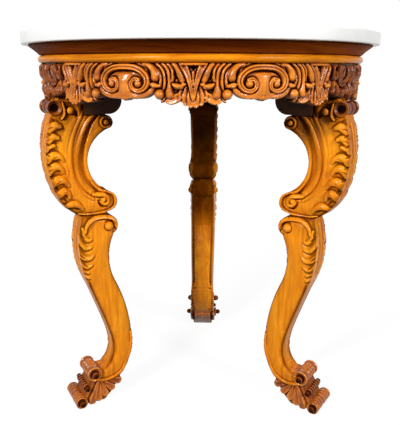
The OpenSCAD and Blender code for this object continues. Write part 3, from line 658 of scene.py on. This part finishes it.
def polygon(X, Y, poly):
    """Distance to a polygon's outline, negative inside."""
    best, inside = np.full(X.shape, 1e9), np.zeros(X.shape, bool)
    for (x0, y0), (x1, y1) in zip(poly, poly[1:] + poly[:1]):
        ex, ey = x1 - x0, y1 - y0
        L = ex * ex + ey * ey
        if L < 1e-9:
            continue
        px, py = X - x0, Y - y0
        t = unit((px * ex + py * ey) / L)
        best = np.minimum(best, np.hypot(px - t * ex, py - t * ey))
        inside ^= ((y0 > Y) != (y1 > Y)) & (X < ex * (Y - y0) / (y1 - y0 + 1e-12) + x0)
    return np.where(inside, -best, best)


def disc(X, Y, c, r):
    return np.hypot(X - c[0], Y - c[1]) - r


def plate(name, R, step, half, i, replaces, edge, wall, wrap, shade=0.0, rows=22, material=WALNUT):
    """A leg's solid: two mirrored carved cheeks joined by the wall between them.
    wall(x, z, q, nx, nz) is how far the wall stands out where it faces (nx, nz), with q from -1 to 1
    across the leg. wrap is the share of the cheek's carving that goes on round the edge."""
    # painted shade from the carving's recesses and along the edges, lighter crests as wear and painted
    # highlight, less where shade is given
    C = (CHEEK_TONE + (cavity(R.H) - 0.5) * CARVE_TONE
         - EDGE_SHADE * np.exp(-(R.M / EDGE_SHADE_WIDTH) ** 2) - shade)
    X, Z, faces, (nx, nz), ring = trimmed(R.X, R.Y, R.M, step)
    H = ring_heights(rounded(R.H + half(R.X, R.Y), R.M, edge), ring) - np.where(ring, RIM_DROP, 0)
    x, z, h, c = X.ravel(), Z.ravel(), H.ravel(), unit(C).ravel()
    n = len(x)
    edges = np.array(border(faces))
    loop = np.unique(edges)
    order = np.full(n, -1)
    order[loop] = np.arange(len(loop))
    lx, lz, lh, wx, wz = x[loop], z[loop], h[loop], nx.ravel()[loop], nz.ravel()[loop]
    lift = ring_heights(R.H, ring).ravel()[loop]
    # painted shade on the walls: outer faces darker, inner faces dark above and light below, lighter where
    # the wall stands out
    tone = np.where(wx > 0, WALL_TONE, np.interp(lz, INNER_Z, INNER_TONES))
    layers, cav = [np.stack([x, -h, z], -1), np.stack([x, h, z], -1)], [c, c]
    for v in np.linspace(-1, 1, rows + 1)[1:-1]:
        out = wall(lx, lz, v, wx, wz) + wrap * lift * math.sin(math.pi * abs(v) ** 3)
        layers.append(np.stack([lx + wx * out, lh * v, lz + wz * out], -1))
        cav.append(np.clip(tone + 0.07 * out, 0.1, 0.8))

    def row(k, ids):
        if k == 0:
            return ids
        if k == rows:
            return ids + n
        return 2 * n + (k - 1) * len(loop) + order[ids]

    walls = [np.stack([row(k, edges[:, 1]), row(k, edges[:, 0]),
                       row(k + 1, edges[:, 0]), row(k + 1, edges[:, 1])], 1) for k in range(rows)]
    grain = [np.stack([z, x, h], -1)] * 2 + [p[:, [2, 0, 1]] for p in layers[2:]]
    verts, parts, data = compact(np.vstack(layers), [faces, faces[:, ::-1] + n, np.vstack(walls)],
                                 np.vstack(grain) * MM, np.concatenate(cav))
    mesh(name, turn(verts, leg_angle(i)), np.vstack(parts), material, *data, replaces)


def lofted(points):
    """Half the leg's width over its height, from rows (z, half width)."""
    return lambda X, Z: np.interp(Z, [p[0] for p in points], [p[1] for p in points])


# upper scroll
post_in, waist_in, waist_out = at(72, 0)[0], at(111, 0)[0], at(62, 0)[0]
flank = at(13, upp(0.274))
upper_line = ([(post_in, POST_Z)] + arc3(at(30.4, POST_Z), at(0, upp(0.635)), flank, 26)
              + arc3(flank, at(33, upp(0.102)), (waist_out, NECK), 14)[1:]
              + [(waist_in, NECK), VOL_MID, VOL_TOP, (VOL_TOP[0], SHOULDER), (post_in, SHOULDER)])
UX, UZ = np.meshgrid(np.arange(198, 338, LEG_STEP), np.arange(NECK - 3, POST_Z + 3, LEG_STEP))
M = polygon(UX, UZ, upper_line)
M = np.minimum(M, np.minimum(disc(UX, UZ, VOL_MID, 21), disc(UX, UZ, VOL_TOP, 14)))
M = np.maximum(np.maximum(M, -disc(UX, UZ, HOLLOW, HOLLOW_R)), -disc(UX, UZ, KNUCKLE, 12))
upper = Relief(UX, UZ, np.zeros(UX.shape), M)
from_hollow = disc(UX, UZ, HOLLOW, 0)
top_fade = unit((UZ - 446) / 12)
# the body swells between the reeds and the leaves
upper.H += 1.7 * dome((from_hollow - 107) / 15) * top_fade
# rolled band beside the hollow, cove, and two reeds that run up to the head
upper.H += 1.2 * dome((from_hollow - 70) / 6.5) * top_fade
cove = [(237, 603), (248, 591), (258.5, 569), (266.5, 544), (270, 517), (266.4, 491), (256, 472),
        (242, 457)]
inner_reed = [(236, 613), (247, 604), (259, 588), (270, 565), (278, 540), (281, 515), (277, 489),
              (265, 466), (246, 449)]
outer_reed = [(262, 613), (270, 599), (279.4, 580), (287, 560), (291.4, 540), (292.4, 515), (287.6, 487),
              (274, 461), (251, 443)]
upper.pit([(x, z, 5.0 - 0.5 * abs(k - 4)) for k, (x, z) in enumerate(cove)], 4.6)
upper.stroke([(x, z, 4.8 - 0.3 * abs(k - 4), 4.4 - 0.3 * abs(k - 4))
              for k, (x, z) in enumerate(inner_reed)], "round", 0.9, 1.6)
upper.stroke([(x, z, 4.2 - 0.3 * abs(k - 4), 3.2 - 0.25 * abs(k - 4))
              for k, (x, z) in enumerate(outer_reed)], "round", 1.2, 1.8)
# groove that parts the outer band from the leaves
upper.pit([(317, 599, 1), (327, 577, 1.4), (330.5, 556, 1.6), (331.5, 538, 1.7), (330.5, 514, 1.7),
           (325, 485, 1.7), (313, 460, 1.6), (298, 438, 1.4), (282, 424, 0.8)], 1.6)
# acanthus lobes up the outer side, each lapping over the one below
lobes = [[(311, 428, 3, 3.4), (299, 435.5, 5.4, 5.4), (287, 436.6, 6.6, 6.8), (278, 431, 4.4, 5.8),
          (272.5, 424, 2.4, 4)],
         [(323, 444, 3.6, 3.8), (316.5, 457, 6.6, 6), (307, 463.6, 7.2, 7.4), (299.4, 459, 4.8, 6.4),
          (297, 451, 2.8, 5)],
         [(329, 465, 3.4, 3.6), (327, 479, 7.2, 6.2), (316, 486.6, 8.2, 7.6), (304.4, 483, 5.6, 6.8),
          (298, 474, 3, 5)],
         [(333.5, 494, 3.4, 3.6), (328.6, 507.6, 6.6, 6.2), (320.6, 512.4, 7.6, 7.4),
          (311, 508, 4.8, 6.6), (306.6, 500, 2.6, 5)],
         [(334.5, 518, 3.2, 3.6), (330, 528.6, 6.6, 6.4), (321.4, 532.8, 7.8, 7.8), (310.6, 529.4, 4.8, 7),
          (306, 522, 2.6, 5.2)],
         [(334.5, 541, 2.6, 3.4), (331.6, 548.4, 4.6, 5.6), (322, 551.6, 3.8, 5.6)],
         [(334.5, 551.5, 3, 3.6), (329, 562, 6.2, 6.2), (323, 567.6, 6.8, 7.2), (314, 565.4, 4, 6.2)],
         [(332.5, 571.5, 3.2, 3.6), (326, 582.4, 6.8, 6.4), (317.6, 588.2, 7.4, 7.6),
          (308.4, 586, 4.2, 6.2)]]
for lobe in lobes:
    upper.stroke(lobe, "lobe", 1.7, 3.6, side=-1)
for x, z, r in ((321, 529, 1.9), (327, 584, 1.2), (329, 563, 1.2), (315, 483, 1.4), (329, 506, 1.2)):
    upper.pit([(x + 6, z - 4, r * 0.6), (x, z, r), (x - 5, z + 1, r * 0.6)], 1.5)
for x, z in ((322, 600), (331, 574), (334, 555), (335, 536), (333.5, 516), (329.5, 492), (320.5, 469),
             (308, 448)):
    upper.pit([(x + 3, z + 1, 1.6), (x, z, 2.6), (x - 4, z - 3, 1.4)], 2.2)
# bottom volute: rolled rim, eye and the dark crescent beside it
upper.stroke([(252, 476, 1.6, 1.6), (243, 465, 2.2, 3), (232, 458, 2.8, 4.4), (219, 455.4, 3.2, 5),
              (208.6, 448, 3.3, 5.2), (205.4, 436, 3.3, 5.2), (209, 424, 3, 5), (221, 416, 2.8, 4.4),
              (240, 413, 2.4, 3.8), (262, 412.6, 2, 3.2), (280, 416, 1.6, 2.4)], "band", 1.5, 2.2)
upper.stroke([(250, 452, 3.4, 4), (240, 450.6, 4.2, 6.2), (229.6, 449.4, 4.8, 7.8), (222.4, 443, 4.8, 8.2),
              (222.6, 434.6, 4.2, 7.8), (229.6, 431.4, 3.6, 7.4), (234, 436.4, 3.4, 7.6)], "round", 1.8, 2.4)
upper.ball(231.4, 440.4, 5.0, 9.0, 0.8)
upper.pit([(241, 441, 1), (239.4, 433, 2.4), (233, 426, 2.6), (224, 425.4, 1.4)], 3.4)
# top volute, and the small ball by the knuckle
rim = []
for f in np.linspace(0, 1, 14):
    a, r = math.radians(130 - 270 * f), 10.6 - f
    rim.append((VOL_TOP[0] + r * math.cos(a), VOL_TOP[1] + r * math.sin(a), 2.2 - 0.2 * f, 3))
upper.stroke(rim, "band", 1.4)
upper.ball(*VOL_TOP, 5.4, 6.6, 1.6)
upper.pit([(297, 626, 5), (288, 621, 8), (279, 612, 6), (276, 604, 3)], 3.6)
upper.ball(287.4, 614, 6.6, 6.4, 1.8)
upper.stroke([(301, 628, 1.6, 3), (299, 616, 2.2, 4.2), (299.6, 606, 2.6, 4.6), (304, 600, 2, 3.6)],
             "round", 1.2)
upper.H = np.clip(upper.H, -5.0, 9.6)


def upper_wall(x, z, q, nx, nz):
    """Central reed with scallops either side on the outer face; a shallow hollow on the inner one."""
    outer = (nx > 0.25) & (z < 604) & (z > NECK + 6)
    fade = unit((604 - z) / 14) * unit((z - NECK - 6) / 10)
    mid = 1.6 * np.exp(-(q / 0.16) ** 2)
    side = 0.9 * np.exp(-((abs(q) - 0.50) / 0.16) ** 2) * np.abs(np.sin((z - 420) * math.pi / 21))
    dip = -1.1 * np.exp(-((abs(q) - 0.30) / 0.07) ** 2)
    inner = disc(x, z, HOLLOW, HOLLOW_R) < 3
    hollow = -1.4 * (1 - q * q) ** 1.5
    return np.where(outer, (mid + side + dip) * fade, 0) + np.where(inner & ~outer, hollow, 0)


# painted shadow close under the frame and on the inner volute
upper_shade_and_darkening = 0.20 * unit((UZ - 588) / 26)
upper_shade_and_darkening = np.maximum(upper_shade_and_darkening, 0.20 * unit((248 - UX) / 22) * unit((UZ - 560) / 24))
# darker and redder over the leaves of the outer side
upper_shade_and_darkening = np.maximum(upper_shade_and_darkening, 0.12 * unit((from_hollow - 116) / 12))
# round on the outer side, crisp beside the hollow
upper_edge = np.interp(from_hollow, [88, 118], [2.8, 8.0])
upper_half = lofted([(NECK, 24.6), (NECK + 14, 28.5), (NECK + 22, 29.4), (507, 29.6), (POST_Z, 32.4)])
for i in (1, 2, 3):
    plate("scroll_upper_%d" % i, upper, LEG_STEP, upper_half, i,
          ("upper_scroll_%d" % i, "volute_bosses_%d" % i), upper_edge, upper_wall, 0.10, upper_shade_and_darkening)

# lower scroll
belly, knee = at(53, low(0.784)), at(75, low(0.541))
shin = [knee, at(88.5, low(0.435)), at(101.5, low(0.33)), at(112, low(0.235)), at(117, low(0.16)),
        at(115.6, low(0.10)), at(108.6, low(0.05)), at(98, low(0.012))]
ankle = [tuple(p) for p in spline(shin, 5)]
# down the inner side to the tip of the foot
nape, hock, calf = at(124, NECK - 42), at(113, low(0.743)), at(125, low(0.579))
instep, heel, under_heel = at(151, low(0.351)), at(157.7, low(0.184)), at(150, low(0.067))
sole, arch, tip = at(131, ROLLER_Z - 12), at(102, ROLLER_Z - 23.5), at(71.5, ROLLER_Z - 16.5)
lower_line = ([(waist_out, NECK)] + arc3((waist_out, NECK), belly, knee, 20) + ankle[1:] + [ROLLER]
              + arc3(tip, arch, sole, 14) + arc3(sole, under_heel, heel, 12)[1:]
              + arc3(heel, instep, calf, 16)[1:] + arc3(calf, hock, nape, 16)[1:]
              + [VOL_LOW, (waist_in, NECK)])
LX, LZ = np.meshgrid(np.arange(170, 290, LEG_STEP), np.arange(ROLLER_Z - 30, NECK + 3, LEG_STEP))
M = np.minimum(polygon(LX, LZ, lower_line), disc(LX, LZ, VOL_LOW, 20.5))
M = np.maximum(M, -disc(LX, LZ, ROLLER, 15.5))
lower = Relief(LX, LZ, np.zeros(LX.shape), M)


def from_line(X, Y, line):
    return nearest(X, Y, [(x, z, 1, 0) for x, z in line])[0]


inner_edge = arc3(calf, instep, heel, 10) + arc3(heel, under_heel, sole, 8)[1:]
inner_edge += arc3(sole, arch, tip, 8)[1:]
back_line = [VOL_LOW] + arc3(nape, hock, calf, 8) + inner_edge[1:11]
front_line = arc3(belly, at(64, low(0.66)), knee, 6) + ankle[1:]
crown = unit((LZ - 56) / 40) * unit((392 - LZ) / 40)
back_d, front_d = from_line(LX, LZ, back_line), from_line(LX, LZ, front_line)
roll = 8.0 * (1 - dome(unit(1 - back_d / 26)))
roll += 7.0 * (1 - dome(unit(1 - front_d / 24))) * unit((300 - LZ) / 40)
lower.H = (3.4 - roll) * crown
# fillet along the inner edge that curls under the foot roller
pull = [(x + (3.0 if z > 72 else 1.5), z + (0 if z > 95 else 3.4)) for x, z in inner_edge]
rows_edge = [(x, z, 1.0 + 2.9 * min(1, k / 12), 4.6 * min(1, k / 13) - 6.5 * max(0, 1 - k / 11))
             for k, (x, z) in enumerate(pull) if k > 8]
lower.stroke(rows_edge, "band", 0.5, 2.6)
# volute band rolled over the top and down into the leaf, eye
lower.stroke([(206, 381, 2.2, 4.8), (206.4, 392, 3, 5.4), (215, 401, 3.7, 5.6), (230, 404.4, 4, 5.6),
              (246, 404, 4, 5.6), (259, 398.6, 3.8, 5.4), (267.4, 388.4, 3.4, 5.2), (270.6, 378, 3, 5)],
             "band", 1.7, 2.6)
lower.ball(221, 384.6, 8.6, 9.4, 1.6)
lower.pit([(229, 394, 1), (221, 396.4, 1.6), (213.4, 393.6, 2), (210.6, 385, 2), (213, 376.6, 1.4)], 3)
for lobe in ([(279, 298, 2.4, 3.2), (273, 288, 3.6, 4.6), (266.5, 282, 2.6, 4)],
             [(286, 312, 3.2, 3.6), (277, 300.6, 4.6, 5.4), (268, 294.6, 3.6, 5.2)],
             [(291, 332, 3.6, 4), (282, 316, 5.4, 6), (270.8, 307.6, 5.6, 6.8), (261, 309, 3.2, 5.6)],
             [(293, 357, 3.8, 4.2), (285, 338.6, 5.6, 6.2), (275, 327, 6.2, 7.4), (264, 324.6, 5.2, 7.2),
              (256.5, 329, 2.8, 5.6)],
             [(288, 374, 3.2, 4), (280, 357, 4.6, 6), (271.6, 346.6, 5.2, 7), (261.5, 346, 3.2, 6)],
             [(275, 386, 2.4, 4.2), (272.4, 371, 3.4, 5.6), (266, 361.6, 4.2, 6.6),
              (259.4, 362.4, 2.6, 5.4)]):
    lower.stroke(lobe, "lobe", 1.7, 3.2, side=1)
for x, z in ((277, 370), (283, 350), (280.4, 331), (274.6, 312)):
    lower.pit([(x + 3, z + 4, 1.2), (x, z, 2), (x - 5, z - 4, 1)], 2.4)
lower.H = np.clip(lower.H, -9.0, 9.6)
# round on the front, softer at the volute
lower_edge = np.maximum(np.where(LZ < 300, 7.5, 6.0) * unit((40 - front_d) / 20), 4.2)
# darker and redder over the leaves of the lower scroll
leaf_darkening = 0.12 * unit((LZ - 284) / 20) * unit((LX - 254) / 10)


def lower_wall(x, z, q, nx, nz):
    """The same reed and scallops above, and a slight crown on the rest."""
    outer = (nx > 0.2) & (z > 276) & (z < NECK - 6)
    fade = unit((z - 276) / 14) * unit((NECK - 6 - z) / 10)
    mid = 1.5 * np.exp(-(q / 0.18) ** 2)
    side = 0.8 * np.exp(-((abs(q) - 0.50) / 0.16) ** 2) * np.abs(np.sin((z - 280) * math.pi / 20))
    dip = -1.0 * np.exp(-((abs(q) - 0.32) / 0.07) ** 2)
    crowned = 0.9 * (1 - q * q) * (z <= 290)
    return np.where(outer, (mid + side + dip) * fade, 0) + crowned * 0.6


lower_half = lofted([(0, 25.4), (152, 25.6), (306, 29.2), (NECK - 14, 29.2), (NECK, 24.6)])
for i in (1, 2, 3):
    plate("scroll_lower_%d" % i, lower, LEG_STEP, lower_half, i, ("lower_scroll_%d" % i,),
          lower_edge, lower_wall, 0.30, leaf_darkening)


# Turned pieces of the legs

def half_ball(y0, radius, n):
    return [(y0 + radius * math.cos(a), max(radius * math.sin(a), POLE))
            for a in np.linspace(0, math.pi / 2, n)]


def banded(y0, y1, r, count, depth):
    """Round ridges between y0 and y1."""
    steps = count * 8
    rows = []
    for k in range(steps + 1):
        ridge = math.sqrt(abs(math.sin(math.pi * count * (k / steps))) + 1e-6)
        rows.append((y0 + (y1 - y0) * (k / steps), r - depth + depth * ridge))
    return rows


roller_rows = (half_ball(35, 7.3, 10)
               + [(33.5, 7), (30.6, 6.2), (28.6, 7.2), (27.8, 9.6), (28.6, 12.2), (30.8, 13.4),
                  (31, 14.6), (29.8, 15.4), (26.6, 15.3), (25.8, 14.2), (24.8, 13.4), (21, 13.7),
                  (17, 14.2), (14.2, 14.9), (13.2, 14.4)]
               + banded(13, 0.6, 15.4, 2, 2.4) + [(0.4, 13)])
toe_rows = (half_ball(41, 6.4, 10)
            + [(39, 6), (36.4, 5.4), (34.6, 6.2), (33.8, 8.4), (34.6, 10.4), (36.4, 11.2),
               (36.6, 12), (35.6, 12.4), (33.2, 12.3), (32.4, 10.9), (31.4, 10.6)]
            + banded(31, 2.8, 12.4, 3, 1.7) + [(1.8, 10.8), (0.4, 10.4)])
pearl_rows = half_ball(30.5, 5.6, 8) + [(28.5, 4.8), (26.5, 4.6)] + banded(25.8, 0.6, 7.4, 3, 2.4)
knuckle_rows = [(26, POLE), (26.2, 3), (25.8, 6), (26.8, 9), (30, 11.4), (31.8, 12.6),
                (31.6, 13.8), (29.8, 14.2), (27.2, 13.2), (25.6, 10.6), (25, 8.6)]
knuckle_rows += [(24.8 - 24 * k / 20, 8 + 4.3 * math.sin(math.pi * k / 20) ** 0.6) for k in range(21)]
knuckle_rows += [(0.4, 8.4)]


def turned_cav(rows):
    """Tone of a turned piece: lighter on its ridges as wear and painted highlight, painted shade in its
    coves and at its ends.
    """
    r = np.array([row[1] for row in rows])
    P = np.pad(r, 4, mode="edge")
    blur = sum(P[k:k + len(r)] for k in range(9)) / 9
    return np.clip(0.54 + (r - blur) * 0.16 - 0.44 * np.exp(-(r / 7.5) ** 4), 0.04, 0.85)


def rollers(name, half, centre, node, i, floor=None, dim=0.0, material=CARVED):
    """A turned piece across leg i; half is its profile from the end to the middle."""
    rows = [(-y, r) for y, r in half] + half[::-1]
    p, f, g = lathe(rows, ROLLER_SIDES, "y", (centre[0], 0, centre[1]), floor)
    cav = np.repeat(turned_cav(rows) - dim, ROLLER_SIDES)
    mesh(name, turn(p, leg_angle(i)), f, material, g, cav, node)


for i in (1, 2, 3):
    rollers("roller_foot_%d" % i, roller_rows, ROLLER, ("foot_roller_%d" % i,), i)
    rollers("roller_toe_%d" % i, toe_rows, TOE, (), i, 0.0)
    rollers("roller_pearl_%d" % i, pearl_rows, PEARL, (), i)
    rollers("knuckle_turned_%d" % i, knuckle_rows, KNUCKLE, ("knuckle_scroll_%d" % i,), i,
            dim=0.10, material=CLUSTER)


# fluted shell under the foot
shell_line = [at(131, ROLLER_Z - 8)] + arc3(sole, at(113, 24), at(89, -1), 12)
shell_line += [(TOE[0], -1), TOE, PEARL, ROLLER]
SX, SZ = np.meshgrid(np.arange(196, 306, 1.0), np.arange(-3, 64, 1.0))
ends = [(REACH - 120 + 58 * t, 34 * (1 - t) ** 1.5 + 7) for t in (0, 0.25, 0.5, 0.75, 1)]
M = polygon(SX, SZ, shell_line)
for end in ends:
    M = np.minimum(M, disc(SX, SZ, end, 8.6))
for cut in (-SZ, 0.2 - polygon(SX, SZ, lower_line), -disc(SX, SZ, ROLLER, 15.6)):
    M = np.maximum(M, cut)
shell = Relief(SX, SZ, np.full(SX.shape, -1.0), M)
apex = at(80, ROLLER_Z - 16)
for x, z in ends:
    first, second = ((apex[0] + (x - apex[0]) * f, apex[1] + (z - apex[1]) * f) for f in (0.10, 0.55))
    shell.stroke([first + (2.6, 2.4), second + (5.4, 5.4), (x, z, 8, 7.8)], "gouge", 1.6, 2)
shell.H = np.clip(shell.H, -4, 8)


def shell_wall(x, z, q, nx, nz):
    """Flutes across the shell's inner side."""
    inner = (x < 262) & (nz < 0.5) & (z > 1.5)
    return np.where(inner, 1.2 * np.abs(np.cos(q * math.pi * 2.5)) - 0.8, 0)


for i in (1, 2, 3):
    plate("shell_fluted_%d" % i, shell, 1.0, lofted([(0, 26.0), (70, 26.0)]), i,
          ("foot_shell_%d" % i,), 2.6, shell_wall, 0.0, rows=16, material=CARVED)


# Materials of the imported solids
for name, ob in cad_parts.items():
    ob.data.materials.clear()
    timber = BLOCK if name.startswith("head_block") else PINE
    ob.data.materials.append({"bearer_screws": STEEL, "marble_top": MARBLE}.get(name, timber))


# Floor, light and camera, with sizes in metres

FLOOR_SIZE, FLOOR_Z = 12.0, -0.0005
FLOOR_NEAR = 0.92             # glow of the floor at the table; it is 1 in the distance
FADE_FROM, FADE_TO = 0.45, 2.2
LIGHT_FROM_ROUND = 0.02       # light that the white surroundings throw on the object
FOCAL_PX, PHOTO_PX, SENSOR = 569.5, 400, 36.0
TURN, DISTANCE, HEIGHT, PITCH, ROLL = 2.0, 1.2237, 0.6919, 14.288, 0.145


def seen_ray(nodes, links):
    """1 for what the camera, a gloss or a glass shows, 0 for light on the object."""
    path = nodes.new("ShaderNodeLightPath")
    total = path.outputs["Is Camera Ray"]
    for other in ("Is Glossy Ray", "Is Transmission Ray"):
        top = nodes.new("ShaderNodeMath")
        top.operation = "MAXIMUM"
        links.new(total, top.inputs[0])
        links.new(path.outputs[other], top.inputs[1])
        total = top.outputs[0]
    return total


def backdrop(name, size, z):
    """Pale floor that keeps the object's shadow and fades to white away from it."""
    me = bpy.data.meshes.new(name)
    me.from_pydata([(x * size, y * size, z) for x, y in ((-1, -1), (1, -1), (1, 1), (-1, 1))], [],
                   [(0, 1, 2, 3)])
    ob = add(name, me)
    mat, nodes, links, bsdf = nodes_of(name)
    put(bsdf, {"Roughness": 0.9, "Specular IOR Level": 0.0})
    source = nodes.new("ShaderNodeTexCoord").outputs["Object"]
    cloud = grain_texture(nodes, links, source, (3, 3, 3), 2.0)
    links.new(ramp(nodes, links, cloud, grey((0.3, 0.11), (0.7, 0.12))), bsdf.inputs["Base Color"])
    length = nodes.new("ShaderNodeVectorMath")
    length.operation = "LENGTH"
    links.new(source, length.inputs[0])
    far = nodes.new("ShaderNodeMapRange")
    put(far, {"From Min": FADE_FROM, "From Max": FADE_TO, "To Min": FLOOR_NEAR, "To Max": 1.0})
    links.new(length.outputs["Value"], far.inputs["Value"])
    glow = nodes.new("ShaderNodeEmission")
    links.new(far.outputs[0], glow.inputs["Strength"])
    both = nodes.new("ShaderNodeAddShader")
    links.new(bsdf.outputs[0], both.inputs[0])
    links.new(glow.outputs[0], both.inputs[1])
    pick = nodes.new("ShaderNodeMixShader")
    links.new(seen_ray(nodes, links), pick.inputs[0])
    links.new(bsdf.outputs[0], pick.inputs[1])
    links.new(both.outputs[0], pick.inputs[2])
    links.new(pick.outputs[0], nodes["Material Output"].inputs[0])
    me.materials.append(mat)


backdrop("floor", FLOOR_SIZE, FLOOR_Z)


def area(name, size, power, place, aim):
    light = bpy.data.lights.new(name, "AREA")
    light.shape = "RECTANGLE"
    light.size, light.size_y = size
    light.energy = power
    ob = add(name, light)
    ob.location = place
    ob.rotation_euler = (Vector(aim) - Vector(place)).to_track_quat("-Z", "Y").to_euler()


area("key", (0.6, 0.6), 84, (-1.3, -2.1, 1.75), (0, 0, 0.45))
area("fill", (0.5, 0.6), 58, (1.9, -1.7, 1.5), (0, 0, 0.4))
area("back", (1.2, 0.8), 10, (0.4, 2.4, 1.9), (0, 0, 0.5))

world = bpy.data.worlds.new("studio")
bpy.context.scene.world = world
world.use_nodes = True
wn, wl = world.node_tree.nodes, world.node_tree.links
white, soft = wn["Background"], wn.new("ShaderNodeBackground")
for node, strength in ((white, 1.0), (soft, LIGHT_FROM_ROUND)):
    put(node, {"Color": (1, 1, 1, 1), "Strength": strength})
blend = wn.new("ShaderNodeMixShader")
wl.new(seen_ray(wn, wl), blend.inputs[0])
wl.new(soft.outputs[0], blend.inputs[1])
wl.new(white.outputs[0], blend.inputs[2])
wl.new(blend.outputs[0], wn["World Output"].inputs[0])

scene = bpy.context.scene
scene.view_settings.view_transform = "Standard"
camera_data = bpy.data.cameras.new("camera")
camera_data.sensor_fit = "HORIZONTAL"
camera_data.sensor_width = SENSOR
camera_data.lens = FOCAL_PX / PHOTO_PX * SENSOR
camera_data.clip_end = 60
camera = add("camera", camera_data)
t, down = math.radians(TURN), math.radians(PITCH)
camera.location = (DISTANCE * math.sin(t), -DISTANCE * math.cos(t), HEIGHT)
forward = Vector((-math.sin(t) * math.cos(down), math.cos(t) * math.cos(down), -math.sin(down)))
look = forward.to_track_quat("-Z", "Y").to_matrix()
camera.rotation_euler = (look @ Matrix.Rotation(math.radians(ROLL), 3, "Z")).to_euler()
scene.camera = camera
